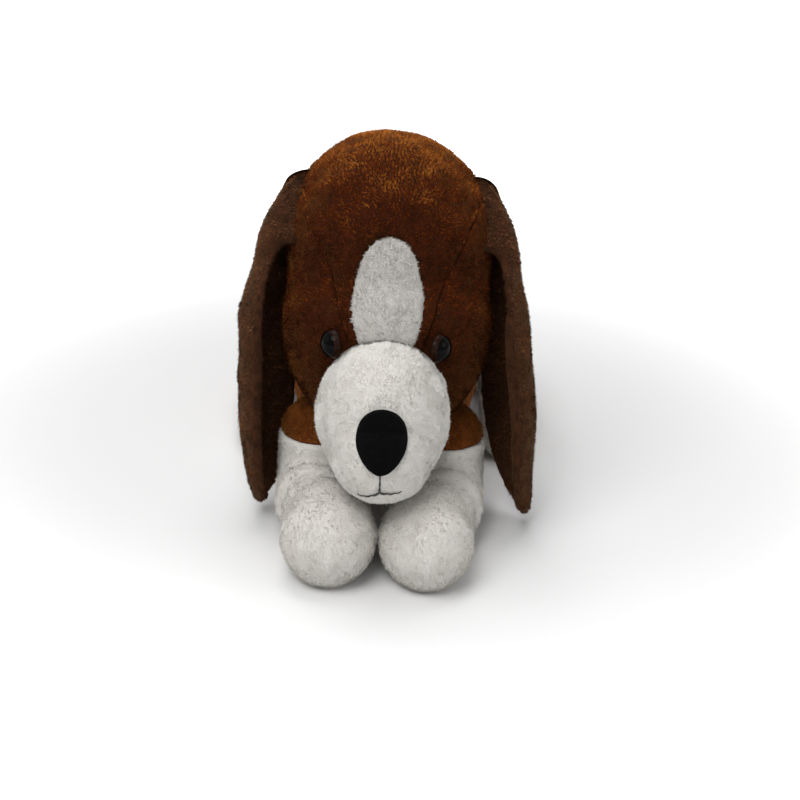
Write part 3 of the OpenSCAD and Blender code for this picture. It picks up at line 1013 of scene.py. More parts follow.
@dataclass(frozen=True)
class Egg:
    """An ellipsoid that leans back about X, in millimetres."""

    middle: tuple[float, float, float]
    half: tuple[float, float, float]
    lean: float = 0.0

    def reach(self, origin: Array, ways: Array, grow: float = 0.0) -> tuple[Array, Array]:
        """Works out where rays meet the egg.

        Args:
            origin: Where the rays start.
            ways: Their directions.
            grow: How much larger the egg is taken.

        Returns:
            The near and far distances, 0 for a miss.
        """
        c, s = math.cos(math.radians(self.lean)), math.sin(math.radians(self.lean))
        turn = np.array([[1, 0, 0], [0, c, -s], [0, s, c]])
        half = np.array(self.half) + grow
        p = (turn @ (origin - np.array(self.middle))) / half
        q = (ways @ turn.T) / half
        b = (q * p).sum(-1)
        qq = (q * q).sum(-1)
        disc = b * b - qq * (p @ p - 1)
        root = np.sqrt(np.maximum(disc, 0))
        hit = disc >= 0
        return np.where(hit, (-b - root) / qq, 0.0), np.where(hit, (-b + root) / qq, 0.0)


@dataclass
class HeadForm:
    """The head as distances from a point in its middle."""

    snout_reach: float = 120.0
    chin_rise: float = 12.2845
    jaw_r: float = 19.4
    bridge_r: float = 28.5
    chest_half: float = 44.0
    neck_r: float = 58.0
    press_gap: float = 1.4
    blaze_tip: float = 86.0
    blaze_a: float = 22.0
    throat_half: float = 32.0
    crown_seam: float = 138.0
    side_seam: float = 124.0
    seam_a: float = 0.01
    nose_u: float = 10.6
    arm_z: float = 39.5
    arm_half: tuple[float, float, float] = (19.0, 19.0, 22.5)
    neck: Array = field(default_factory=lambda: joint_place("head_nod"))
    shoulder: Array = field(default_factory=lambda: joint_place("foreleg_splay_left"))

    def __post_init__(self) -> None:
        """Places the eggs that the head is made of."""
        chin = self.neck + np.array([0, -self.snout_reach, self.chin_rise])

        def at(*off: float) -> tuple[float, ...]:
            """Finds a place beside the chin.

            Args:
                off: How far right, back and up it lies.

            Returns:
                The place.
            """
            return tuple(chin + np.array(off, float))

        self.crown_at = chin + np.array([0, 70, 67])
        self.jaw = Egg(at(0, -2.5, -1.8), (self.jaw_r, self.jaw_r * 1.28, self.jaw_r))
        self.bridge = Egg(
            at(0, 13, 7.5), (self.bridge_r, self.bridge_r * 1.2, self.bridge_r * 1.26)
        )
        self.cheeks = Egg(at(0, 50, 36), (46, 34, 52), 16)
        self.brow = Egg(at(0, 56, 38), (38, 48, 37), 0)
        self.crown = Egg(at(0, 70, 67), (45, 46, 48), 16)
        self.socket = Egg(tuple(self.neck), (self.chest_half, self.neck_r, self.neck_r))
        self.middle = chin + np.array([0, 52, 24])
        self.ahead = unit(chin + np.array([0, 0, 6]) - self.middle)
        self.above = np.array([0, self.ahead[2], -self.ahead[1]])

    def way(self, u: Array, a: Array) -> Array:
        """Works out directions from the middle of the head.

        Args:
            u: Angles from ahead, in degrees.
            a: Angles round the way ahead, in degrees.

        Returns:
            Directions of length one.
        """
        u, a = np.radians(u)[..., None], np.radians(a)[..., None]
        round_it = np.array([1.0, 0, 0]) * np.cos(a) + self.above * np.sin(a)
        return self.ahead * np.cos(u) + round_it * np.sin(u)

    def muzzle_reach(self, w: Array) -> Array:
        """Works out how far the muzzle reaches.

        Args:
            w: Directions of length one.

        Returns:
            Distances from the middle.
        """
        return soft_max(
            self.jaw.reach(self.middle, w)[1], self.bridge.reach(self.middle, w)[1], 11
        )

    def face_reach(self, w: Array) -> Array:
        """Works out how far the cheeks, brow and crown reach.

        Args:
            w: Directions of length one.

        Returns:
            Distances from the middle.
        """
        cheeks, crown, brow = (
            egg.reach(self.middle, w)[1] for egg in (self.cheeks, self.crown, self.brow)
        )
        return soft_max(soft_max(cheeks, crown, 14), brow, 20)

    def reach(self, w: Array, d: float) -> Array:
        """Works out how far the head reaches, pressed in where it lies on the body.

        Args:
            w: Directions of length one.
            d: How far below the surface, in millimetres.

        Returns:
            Distances from the middle.
        """
        grow = self.press_gap + d
        neck = self.socket.reach(self.middle, w, grow)[0]
        neck = np.where(neck > 0, neck, 1000.0)
        out = np.maximum(self.muzzle_reach(w), self.face_reach(w)) - d
        for side in (1, -1):
            place = (side * self.shoulder[0], self.shoulder[1], self.arm_z)
            arm = Egg(place, self.arm_half).reach(self.middle, w, grow)[0]
            out = np.minimum(out, np.where(arm > 0, arm, 1000.0))
        return np.minimum(out, neck)

    def form(self, u: Array, a: Array, d: float) -> Array:
        """Works out points of the head.

        Args:
            u: Angles from ahead, in degrees.
            a: Angles round the way ahead, in degrees.
            d: How far below the surface, in millimetres.

        Returns:
            The points.
        """
        w = self.way(u, a)
        return self.middle + w * self.reach(w, d)[..., None]

    def side_at(self, y: Array, z: Array) -> Array:
        """Finds the head's half-width.

        Args:
            y: Places along the dog.
            z: Heights.

        Returns:
            The half-widths.
        """
        low, high = np.full(np.shape(y), 5.0), np.full(np.shape(y), 70.0)
        for _ in range(18):
            x = (low + high) / 2
            off = np.stack([x, y, z], -1) - self.middle
            far = np.linalg.norm(off, axis=-1)
            inside = far < self.reach(off / far[..., None], 0.0)
            low, high = np.where(inside, x, low), np.where(inside, high, x)
        return low

    def muzzle_edge(self, a: Array) -> Array:
        """Finds where the muzzle meets the face.

        Args:
            a: Angles round the way ahead, in degrees.

        Returns:
            Angles from ahead, in degrees.
        """
        a = np.asarray(a, float)
        low, high = np.full(a.shape, 10.0), np.full(a.shape, 88.0)
        for _ in range(16):
            mid = (low + high) / 2
            w = self.way(mid, a)
            more = self.muzzle_reach(w) > self.face_reach(w)
            low, high = np.where(more, mid, low), np.where(more, high, mid)
        return (low + high) / 2

    def blaze_half(self, s: Array) -> Array:
        """Works out the blaze's half-width.

        Args:
            s: Places up the blaze, from 0 to 1.

        Returns:
            Degrees round the way ahead.
        """
        return self.blaze_a * (1 - np.clip(s, 0, 1) ** 2.6) ** 0.52 + 0.6

    def forehead_half(self, u: Array) -> Array:
        """Works out the forehead's half-width.

        Args:
            u: Angles from ahead, in degrees.

        Returns:
            Degrees round the way ahead.
        """
        return np.interp(u, [40, 82, 119, 140], [32, 28, 34, 32])

    def back_edge(self, a: Array) -> Array:
        """Works out where the back of the head begins.

        Args:
            a: Angles round the way ahead, in degrees.

        Returns:
            Angles from ahead, in degrees.
        """
        return lerp(
            self.side_seam, self.crown_seam, ramp(np.maximum(0, np.sin(np.radians(a))))
        )

    def nose_far(self) -> float:
        """Returns how far the middle of the nose is from the middle of the head."""
        return float(self.reach(self.way(np.array(self.nose_u), np.array(90.0)), 0.0))

    def on_muzzle(self, x: Array, z: Array, lift: Array | float) -> Array:
        """Returns points on the muzzle, x across and z up from the middle of the nose.

        Args:
            x: Distances across.
            z: Distances up.
            lift: How far the points stand off the surface.

        Returns:
            The points.
        """
        far = self.nose_far()
        x, z = np.asarray(x, float)[..., None], np.asarray(z, float)[..., None]
        w = unit(
            self.ahead
            + np.array([1.0, 0, 0]) * x / far
            + self.above * (math.tan(math.radians(self.nose_u)) + z / far)
        )
        return self.middle + w * (self.reach(w, 0.0) + lift)[..., None]


# ---------------------------------------------------------------- the head


@dataclass
class Eye:
    """A moulded safety eye: a polished dome with a brown iris round a black pupil."""

    diameter: float = 13.0
    height: float = 5.0
    rim: float = 0.2
    u: float = 49.0
    a: float = 47.2
    turned_out: float = 24.0
    pupil: float = 0.84

    def placed(self, head: HeadForm) -> tuple[Array, Array]:
        """Finds the left eye.

        Args:
            head: The head's form.

        Returns:
            Its place and the way it looks.
        """
        at = head.form(np.array(self.u), np.array(self.a), 0.0)
        du = head.form(np.array(self.u + 6), np.array(self.a), 0.0) - head.form(
            np.array(self.u - 6), np.array(self.a), 0.0
        )
        da = head.form(np.array(self.u), np.array(self.a + 9), 0.0) - head.form(
            np.array(self.u), np.array(self.a - 9), 0.0
        )
        return at, unit(np.cross(du, da))

    def build(self, head: HeadForm, side: Side) -> bpy.types.Object:
        """Makes one eye.

        Args:
            head: The head's form.
            side: The side it is on.

        Returns:
            The eye.
        """
        at, out = self.placed(head)
        turned = math.radians(self.turned_out)
        out = np.array(
            [
                out[0] * math.cos(turned) - out[1] * math.sin(turned),
                out[1] * math.cos(turned) + out[0] * math.sin(turned),
                out[2],
            ]
        )
        mirror = np.array([float(side.value), 1, 1])
        r = self.diameter / 2
        sphere = (r * r + self.height**2) / (2 * self.height)
        rings = []
        for t in np.linspace(0, math.asin(min(1.0, r / sphere)), 25):
            low = sphere * (1 - math.cos(t))
            rings.append((sphere * math.sin(t), self.rim + self.height - low))
        # The rim turns in under the dome, where the plush closes round it.
        rings += [(r + 0.12, self.rim - 0.15), (r + 0.1, self.rim - 0.7), (r * 0.6, self.rim - 0.9)]
        across = unit(np.cross(out, np.array([0.0, 0, 1])))
        up = np.cross(across, out)
        count = 64
        turn = np.linspace(0, 2 * math.pi, count, endpoint=False)[:, None]
        ring = across * np.cos(turn) + up * np.sin(turn)
        points = np.concatenate([at + ring * max(w, 0.02) + out * h for w, h in rings]) * mirror
        faces = grid_quads(len(rings), count, True, side is Side.RIGHT)
        made = make_mesh(f"eye_{side.name.lower()}_dome", points, faces)
        made.data.materials.append(MATERIALS["eye_pupil"])
        made.data.materials.append(MATERIALS["eye_iris"])
        index = np.repeat([0 if w < r * self.pupil else 1 for w, _ in rings[:-1]], count)
        made.data.polygons.foreach_set("material_index", index.astype(np.int32))
        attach(made, "head")
        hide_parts(f"eye_{side.name.lower()}")
        LOG.info("eye on the %s", side.name.lower())
        return made


@dataclass
class Nose:
    """A padded felt nose: round at the top and pointed at the bottom."""

    width: float = 22.0
    height: float = 22.2
    thick: float = 3.2
    top: float = 0.5

    def outline(self, a: Array) -> tuple[Array, Array]:
        """Works out the nose's outline.

        Args:
            a: Angles round it, in radians.

        Returns:
            Places across and up from its middle.
        """
        s, c = np.sin(a), np.cos(a)
        x = np.where(s > 0, self.width / 2 * c, self.width / 2 * c * (1 - 0.34 * s**2))
        z = np.where(s > 0, self.height * self.top * s, self.height * (1 - self.top) * s)
        return x, z

    def inside(self, x: Array, z: Array, grow: float) -> Array:
        """Tells which places on the muzzle are under the nose.

        Args:
            x: Distances across.
            z: Distances up.
            grow: How much larger the nose is taken, in millimetres.

        Returns:
            Whether each place is.
        """
        tall = np.where(z > 0, self.top, 1 - self.top) * self.height
        a = np.arctan2(z / tall * self.width / 2, x)
        ox, oz = self.outline(a)
        return np.hypot(x, z) < np.hypot(ox, oz) + grow

    def build(self, head: HeadForm) -> bpy.types.Object:
        """Makes the nose.

        Args:
            head: The head's form.

        Returns:
            The nose.
        """
        profile = [(1.0, 0.2), (1.035, 0.9), (1.03, 1.5), (0.99, 2.1)]
        profile += [
            (0.99 * math.cos(t), 2.1 + (self.thick - 2.1) * math.sin(t))
            for t in np.linspace(0.15, math.pi / 2 - 0.001, 16)
        ]
        count = 96
        turn = np.linspace(0, 2 * math.pi, count, endpoint=False)
        x, z = self.outline(turn)
        rings = [head.on_muzzle(x * k, z * k, lift) for k, lift in profile]
        points = np.stack(rings)
        wobble = Waves(5.0, 61).at(points) * 0.12
        points = points + unit(points - head.middle) * wobble[..., None]
        made = make_mesh(
            "nose_felt",
            points.reshape(-1, 3),
            grid_quads(len(profile), count, True, True),
        )
        made.data.materials.append(MATERIALS["felt"])
        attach(made, "head")
        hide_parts("nose")
        LOG.info("nose: %d faces", len(made.data.polygons))
        return made


@dataclass
class Mouth:
    """Mouth stitches: short back stitches of black thread, half sunk in the pile."""

    drop: float = 9.2
    half: float = 8.6
    sag: tuple[float, float] = (5.0, 1.4)
    thread_r: float = 0.42
    stitch: float = 3.2
    bulge: float = 0.4
    sunk: float = 0.5

    def lines(self, nose: Nose) -> list[Array]:
        """Draws the lines that the stitches follow.

        Args:
            nose: The nose above them.

        Returns:
            Lines of (x, z) places on the muzzle.
        """
        top = -nose.height * (1 - nose.top) - 0.4
        bottom = top - self.drop
        t = np.linspace(0, 1, 30)
        made = [np.stack([0 * t, lerp(top, bottom, t)], -1)]
        for side, sag in zip((-1, 1), self.sag):
            fall = sag * np.sin(t * math.pi / 2)
            made.append(np.stack([side * self.half * t, bottom - fall], -1))
        return made

    def build(self, head: HeadForm, nose: Nose) -> bpy.types.Object:
        """Makes the stitches.

        Args:
            head: The head's form.
            nose: The nose above them.

        Returns:
            All stitches as one piece.
        """
        points, faces, count = [], [], 0
        rings, corners = 9, 10
        lines = self.lines(nose)
        for line in lines:
            length = float(np.linalg.norm(np.diff(line, axis=0), axis=-1).sum())
            number = max(2, round(length / self.stitch))
            at = np.linspace(0, 1, len(line))
            for k in range(number):
                t = np.linspace(k / number, (k + 1) / number + 0.02, rings)
                x, z = np.interp(t, at, line[:, 0]), np.interp(t, at, line[:, 1])
                bulge = np.sin(np.linspace(0, math.pi, rings))
                path = head.on_muzzle(x, z, self.bulge * bulge - self.sunk)
                ahead = unit(np.gradient(path, axis=0))
                side = unit(np.cross(ahead, head.ahead))
                up = np.cross(side, ahead)
                # The thread is thickest where the three lines meet.
                thick = 0.8 + 0.5 * t if line is lines[0] else 1.35 - 0.75 * t
                r = self.thread_r * (0.7 + 0.3 * bulge) * thick
                points.append(thread_tube(path, side, up, r, corners))
                faces.append(grid_quads(rings, corners, True, False) + count)
                count += rings * corners
        made = make_mesh("mouth_thread", np.concatenate(points), np.concatenate(faces))
        made.data.materials.append(MATERIALS["black_thread"])
        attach(made, "head")
        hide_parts("mouth_stitches")
        LOG.info("mouth: %d faces", len(made.data.polygons))
        return made


@dataclass
class Head:
    """The head: seven panels, eyes, nose and mouth."""

    form: HeadForm = field(default_factory=HeadForm)
    eye: Eye = field(default_factory=Eye)
    nose: Nose = field(default_factory=Nose)
    mouth: Mouth = field(default_factory=Mouth)
    eye_dent: float = 1.6
    density: float = 4.4

    def relief(self, p: Array) -> Array:
        """Pulls the plush in round each eye, and swells the stuffing beside the crown's seam.

        Args:
            p: Points in millimetres.

        Returns:
            How far each point moves out.
        """
        at, _ = self.eye.placed(self.form)
        swell = self.form.crown_at + np.array([-22.0, -4.0, 36.0])
        move = 2.0 * np.exp(-((np.linalg.norm(p - swell, axis=-1) / 20.0) ** 2))
        for side in (1, -1):
            off = p - at * np.array([side, 1, 1])
            flat = np.linalg.norm(off, axis=-1)
            move -= self.eye_dent * np.exp(-((flat / 9.0) ** 2))
        return move

    def bare(self, p: Array) -> Array:
        """Tells where no pile grows: under the eyes and the nose, and at the mouth's thread.

        Args:
            p: Points in millimetres.

        Returns:
            Whether each point is bare.
        """
        at, _ = self.eye.placed(self.form)
        hidden = np.zeros(p.shape[:-1], bool)
        for side in (1, -1):
            mirror = np.array([side, 1, 1])
            off = p - at * mirror
            hidden |= np.linalg.norm(off, axis=-1) < self.eye.diameter / 2 + 0.1
        w = unit(p - self.form.middle)
        far = self.form.nose_far()
        front = (w @ self.form.ahead) > 0.5
        share = np.where(front, w @ self.form.ahead, 1.0)
        x = w[..., 0] / share * far
        z = ((w @ self.form.above) / share - math.tan(math.radians(self.form.nose_u))) * far
        hidden |= front & self.nose.inside(x, z, -0.3)
        for line in self.mouth.lines(self.nose):
            off = np.stack([x, z], -1)[..., None, :] - line
            hidden |= front & (np.linalg.norm(off, axis=-1).min(-1) < 0.7)
        return hidden

    def cheek_place(self, s: Array, t: Array) -> tuple[Array, Array]:
        """Places the left cheek on the head.

        Args:
            s: Places from its start to its end, from 0 to 1.
            t: Places across it, from 0 to 1.

        Returns:
            The places u and a on the form.
        """
        f = self.form
        first = 90 - f.forehead_half(lerp(f.muzzle_edge(np.array(60.0)), f.crown_seam, s))
        guess = lerp(f.muzzle_edge(first), f.back_edge(first), s)
        top = 90 - f.forehead_half(guess) - f.seam_a
        a = lerp(-90 + f.throat_half + f.seam_a, top, t)
        return lerp(f.muzzle_edge(a) + f.seam_a, f.back_edge(a) - f.seam_a, s), a

    def forehead_place(self, s: Array, t: Array) -> tuple[Array, Array]:
        """Places the forehead, which goes round the blaze like an arch.

        Args:
            s: Places from its start to its end, from 0 to 1.
            t: Places across it, from 0 to 1.

        Returns:
            The places u and a on the form.
        """
        f = self.form
        side = np.where(t < 0.5, 1.0, -1.0)
        v = 1 - np.abs(2 * t - 1)
        seam_v, top_v = np.minimum(1, v / 0.7), np.maximum(0, (v - 0.7) / 0.3)
        in_base = f.muzzle_edge(90 - side * f.blaze_a) + f.seam_a
        in_u = lerp(in_base, f.blaze_tip + 0.4, v)
        in_a = f.blaze_half(v) + f.seam_a
        out_base = f.muzzle_edge(90 - side * f.forehead_half(np.array(40.0))) + f.seam_a
        end = f.back_edge(90 - f.forehead_half(np.array(138.0))) - f.seam_a
        guess = lerp(out_base, end, seam_v)
        out_a = (f.forehead_half(guess) - f.seam_a) * (1 - top_v)
        out_u = np.where(seam_v < 1, guess, f.back_edge(90 - out_a) - f.seam_a)
        return lerp(in_u, out_u, s), 90 - side * lerp(in_a, out_a, s)

    def panels(self) -> list[Pelt]:
        """Returns the head's panels."""
        f = self.form
        all_round = (Edge.START, Edge.END, Edge.LEFT, Edge.RIGHT)
        back = (0.0, 1.0, 0.35)

        def cut(node: str, finish: PlushFinish, slot: str, place: Place, **more) -> Pelt:
            """Cuts one panel of the head.

            Args:
                node: Its CAD node.
                finish: Its plush.
                slot: The name of its material slot, kept on the panel but not used.
                place: Where it lies on the head.
                **more: The panel's other fields.

            Returns:
                The panel.
            """
            more = {"sewn": all_round, "nap": back, "density": self.density, **more}
            return Pelt(
                node, "head", finish, slot, f.form, place,
                relief=self.relief, bare=self.bare, **more,
            )

        def muzzle(s: Array, t: Array) -> tuple[Array, Array]:
            """Places the muzzle.

            Args:
                s: Places from its start to its end, from 0 to 1.
                t: Places across it, from 0 to 1.

            Returns:
                The places u and a on the form.
            """
            a = 360 * t
            return lerp(0.02, f.muzzle_edge(a) - f.seam_a, s**0.8), a

        def blaze(s: Array, t: Array) -> tuple[Array, Array]:
            """Places the blaze.

            Args:
                s: Places from its start to its end, from 0 to 1.
                t: Places across it, from 0 to 1.

            Returns:
                The places u and a on the form.
            """
            a = 90 + (2 * t - 1) * (f.blaze_half(s) - f.seam_a)
            return lerp(f.muzzle_edge(a) + f.seam_a, f.blaze_tip, s), a

        def throat(s: Array, t: Array) -> tuple[Array, Array]:
            """Places the throat.

            Args:
                s: Places from its start to its end, from 0 to 1.
                t: Places across it, from 0 to 1.

            Returns:
                The places u and a on the form.
            """
            a = -90 + (2 * t - 1) * (f.throat_half - f.seam_a)
            return lerp(f.muzzle_edge(a) + f.seam_a, f.back_edge(a) - f.seam_a, s), a

        def rear(s: Array, t: Array) -> tuple[Array, Array]:
            """Places the back of the head.

            Args:
                s: Places from its start to its end, from 0 to 1.
                t: Places across it, from 0 to 1.

            Returns:
                The places u and a on the form.
            """
            a = 360 * t
            return lerp(f.back_edge(a) + f.seam_a, 179.0, s), a

        made = [
            cut("muzzle_panel", WHITE, "white_plush", muzzle, sewn=(Edge.END,), closed=True, seed=1,
                tuck=1.5, seam_shade=0.7),
            cut("blaze_panel", PAINTED_SHADE_WHITE, "white_plush", blaze, seed=2, pucker=0.15, tuck=0.3,
                seam_shade=0.25),
            cut("forehead_panel", CHESTNUT, "chestnut_plush", self.forehead_place, seed=3,
                tuck=1.8),
            cut("throat_panel", WHITE, "white_plush", throat, seed=4, density=1.0),
            cut("head_back_panel", CHESTNUT, "chestnut_plush", rear, sewn=(Edge.START,),
                closed=True, seed=5, density=2.2, pucker=0.5),
        ]
        for side in Side:
            made.append(
                cut(f"cheek_panel_{side.name.lower()}", CHESTNUT, "chestnut_plush",
                    self.cheek_place, side=side, seed=6, tuck=1.8)
            )
        return made

    def build(self) -> None:
        """Makes the whole head."""
        for panel in self.panels():
            backing, _ = panel.build()
        for side in Side:
            self.eye.build(self.form, side)
        self.nose.build(self.form)
        self.mouth.build(self.form, self.nose)


# ---------------------------------------------------------------- the ears


@dataclass
class Ears:
    """Two long ears, each of two layers turned out and sewn on at the root."""

    length: float = 147.0
    width: float = 56.0
    root_width: float = 36.0
    thick: float = 6.5
    root_tilt: float = 46.0
    flare: tuple[float, float] = (24.0, 20.5)
    flare_by: tuple[float, float] = (0.66, 0.38)
    tip_in: tuple[float, float] = (-1.0, 8.0)
    cup: float = 14.0
    curl_back: float = 6.5
    turn: float = 0.06
    edge_thick: float = 0.9
    sunk: float = 1.0
    density: float = 3.4

    def __post_init__(self) -> None:
        """Finds how far each point of the root line lies from the head."""
        self.root = joint_place("ear_lift_left")
        self.root_v = np.linspace(-1.2, 1.2, 25)
        self.root_off = np.zeros(25)
        line = self.middle(np.zeros(25), self.root_v, 0)
        self.root_off = HeadForm().side_at(line[:, 1], line[:, 2]) - self.sunk - line[:, 0]

    def middle(self, s: Array, v: Array, ear: int) -> Array:
        """Works out the middle surface of an ear, as if it were on the left.

        Args:
            s: Places down the ear, from 0 to 1.
            v: Places from front (-1) to back (1).
            ear: 0 for the left ear and 1 for the right one.

        Returns:
            The points.
        """
        low = np.maximum(0, (s - 0.6) / 0.4)
        half = lerp(self.root_width / 2, self.width / 2, ramp(s / 0.55))
        half = half * np.where(low > 0, np.maximum(0.04, dome(np.minimum(low, 1), 1.0)), 1.0)
        tilt = np.radians(lerp(self.root_tilt, 4, ramp(s / 0.4)))
        curl = (self.curl_back * v + self.cup * v * v) * half / self.width * 2
        x = self.flare[ear] * np.sqrt(np.minimum(1, s / self.flare_by[ear]))
        x = x - self.tip_in[ear] * low * low - ramp(s / 0.4) * curl
        x = x + np.interp(v, self.root_v, self.root_off) * (1 - ramp(s / 0.22))
        drop = self.length * (s - self.turn * (1 - np.exp(-s / self.turn)))
        y = v * half * np.cos(tilt) - 6 * ramp(s)
        return self.root + np.stack([x, y, v * half * np.sin(tilt) - drop], -1)

    def out(self, s: Array, v: Array, ear: int) -> Array:
        """Works out the way out of the middle surface.

        Args:
            s: Places down the ear, from 0 to 1.
            v: Places from front (-1) to back (1).
            ear: 0 for the left ear and 1 for the right one.

        Returns:
            Directions of length one.
        """
        ds = self.middle(np.minimum(1, s + 0.02), v, ear) - self.middle(
            np.maximum(0.001, s - 0.02), v, ear
        )
        dv = self.middle(s, v + 0.05, ear) - self.middle(s, v - 0.05, ear)
        return unit(np.cross(ds, dv))

    def layer(self, out: int, ear: int) -> Form:
        """Returns the form of one layer.

        Args:
            out: 1 for the outer layer and -1 for the inner one.
            ear: 0 for the left ear and 1 for the right one.

        Returns:
            A form whose u runs down the ear and whose a runs from front (-1) to back (1).
        """

        def form(u: Array, a: Array, d: float) -> Array:
            """Works out points of the layer.

            Args:
                u: Places down the ear, from 0 to 1.
                a: Places from front (-1) to back (1).
                d: How far below the surface, in millimetres.

            Returns:
                The points.
            """
            away = self.out(u, a, ear)
            crown = np.maximum(0, 1 - a * a) ** 0.6
            bulge = self.edge_thick + (self.thick / 2 - self.edge_thick) * crown
            bulge = bulge * lerp(0.35, 1, ramp(u / 0.15))
            bulge = bulge * np.where(u > 0.985, dome((u - 0.985) / 0.015 * 0.98, 1.0), 1.0)
            return self.middle(u, a, ear) + away * ((bulge - d * 0.6) * out)[..., None]

        return form

    def build(self) -> None:
        """Makes both ears."""

        def place(s: Array, t: Array) -> tuple[Array, Array]:
            """Places a layer, with closer rows near the tip.

            Args:
                s: Places from its start to its end, from 0 to 1.
                t: Places across it, from 0 to 1.

            Returns:
                The places u and a on the form.
            """
            return lerp(0.0, 1.0, np.sin(s * math.pi / 2)), 2 * t - 1

        for ear, side in enumerate(Side):
            name = side.name.lower()
            for out, layer in ((1, "outer"), (-1, "inner")):
                pelt = Pelt(
                    f"ear_{layer}_{name}",
                    f"ear_{name}",
                    EAR_BROWN,
                    "ear_plush",
                    self.layer(out, ear),
                    place,
                    (Edge.LEFT, Edge.RIGHT, Edge.END),
                    (0.0, -0.2, -1.0),
                    side=side,
                    density=self.density,
                    tuck=0.5,
                    pucker=0.25,
                    seed=10 + out,
                )
                backing, _ = pelt.build()


# ---------------------------------------------------------------- torso, legs and tail


@dataclass
class Torso:
    """The torso: a neck ball that flows into a rump, flat where it lies."""

    neck_r: float = 58.0
    chest_w: float = 88.0
    rump: tuple[float, float, float] = (94.0, 130.0, 98.0)
    rump_z: float = 43.0
    rump_back: float = 52.0
    chest_end: float = 0.24
    density: float = 1.3
    stitches: int = 7
    thread_r: float = 0.35

    def __post_init__(self) -> None:
        """Finds the neck in the frame."""
        self.neck = joint_place("head_nod")
        self.rump_y = self.neck[1] + self.rump_back

    def section(self, y: Array, d: float) -> tuple[Array, Array, Array]:
        """Works out a cross-section of the torso.

        Args:
            y: Places along the dog.
            d: How far below the surface, in millimetres.

        Returns:
            The half-width, and the lowest and the highest point.
        """
        n = dome(y - self.neck[1], self.neck_r - d)
        r = dome(y - self.rump_y, self.rump[1] / 2 - d)
        wide = soft_max(n * (self.chest_w / 2 - d), r * (self.rump[0] / 2 - d), 9)
        low_n = np.where(n > 0, self.neck[2] - n * (self.neck_r - d), self.rump_z)
        high_n = np.where(n > 0, self.neck[2] + n * (self.neck_r - d), self.rump_z)
        low_r = np.where(r > 0, self.rump_z - r * (self.rump[2] / 2 - d), self.neck[2])
        high_r = np.where(r > 0, self.rump_z + r * (self.rump[2] / 2 - d), self.neck[2])
        return wide, np.minimum(low_n, low_r), soft_max(high_n, high_r, 16) - 1.0

    def form(self, u: Array, a: Array, d: float) -> Array:
        """Works out points of the torso.

        Args:
            u: Places along it, from 0 to 1.
            a: Angles round it, in degrees.
            d: How far below the surface, in millimetres.

        Returns:
            The points.
        """
        front = self.neck[1] - self.neck_r + d
        back = self.rump_y + self.rump[1] / 2 - d
        y = lerp(front, back, (1 - np.cos(np.radians(lerp(2, 179.4, u)))) / 2)
        wide, low, high = self.section(y, d)
        a = np.radians(a)
        z = (low + high) / 2 + (high - low) / 2 * np.sin(a)
        return np.stack([wide * np.cos(a), y, np.maximum(z, d)], -1)

    def belly_edge(self, u: Array) -> Array:
        """Finds where a section meets the ground.

        Args:
            u: Places along it, from 0 to 1.

        Returns:
            The angles round it, in degrees.
        """
        y = self.form(u, np.zeros_like(u), 0.0)[..., 1]
        _, low, high = self.section(y, 0.0)
        share = np.clip((low + high) / np.maximum(high - low, 1e-6), -1, 1)
        return np.where(low < 0, -np.degrees(np.arcsin(share)), -90.0)

    def build(self) -> None:
        """Makes the torso's panels and closing stitches."""
        all_round = (Edge.START, Edge.END, Edge.LEFT, Edge.RIGHT)

        def chest(s: Array, t: Array) -> tuple[Array, Array]:
            """Places the chest.

            Args:
                s: Places from its start to its end, from 0 to 1.
                t: Places across it, from 0 to 1.

            Returns:
                The places u and a on the form.
            """
            return lerp(0.0, self.chest_end, s), 360 * t

        def back(s: Array, t: Array) -> tuple[Array, Array]:
            """Places the left half of the back.

            Args:
                s: Places from its start to its end, from 0 to 1.
                t: Places across it, from 0 to 1.

            Returns:
                The places u and a on the form.
            """
            u = lerp(self.chest_end, 1.0, s)
            return u, lerp(self.belly_edge(u) + 0.1, 90.0, t)

        pelts = [
            Pelt("chest_panel", "torso", TAN, "tan_plush", self.form, chest, (Edge.END,),
                 (0, -0.3, -1), closed=True, density=0.8, seed=20)
        ]
        for side in Side:
            pelts.append(
                Pelt(f"back_panel_{side.name.lower()}", "torso", TAN, "tan_plush", self.form, back,
                     all_round, (0, 1, -0.35), side=side, density=self.density, seed=21)
            )
        for pelt in pelts:
            backing, _ = pelt.build()
        self.build_belly()
        self.build_stitches()

    def build_belly(self) -> bpy.types.Object:
        """Makes the belly panel, which is flat on the ground.

        Returns:
            The panel.
        """
        low, high = (np.array(v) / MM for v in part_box("belly_panel"))
        u = np.linspace(self.chest_end + 0.03, 0.985, 90)
        a = self.belly_edge(u)
        p = self.form(u, a, 0.0)
        keep = (a > -88) & (p[:, 1] > low[1] - 3) & (p[:, 1] < high[1] + 3)
        line = p[keep]
        share = np.linspace(-1, 1, 41)
        grid = np.stack([np.stack([line[:, 0] * k * 0.995, line[:, 1]], -1) for k in share], 1)
        sag = 0.25 + 0.5 * np.abs(share)[None] ** 6 + 0.12 * Waves(12.0, 71).at(
            np.concatenate([grid, np.zeros(grid.shape[:2] + (1,))], -1)
        )
        points = np.concatenate([grid, np.maximum(sag, 0.12)[..., None]], -1)
        made = make_mesh(
            "belly_panel_backing", points.reshape(-1, 3), grid_quads(len(line), 41, False, False)
        )
        made.data.materials.append(BACKINGS.get(WHITE))
        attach(made, "torso")
        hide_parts("belly_panel")
        LOG.info("belly: %d faces", len(made.data.polygons))
        return made

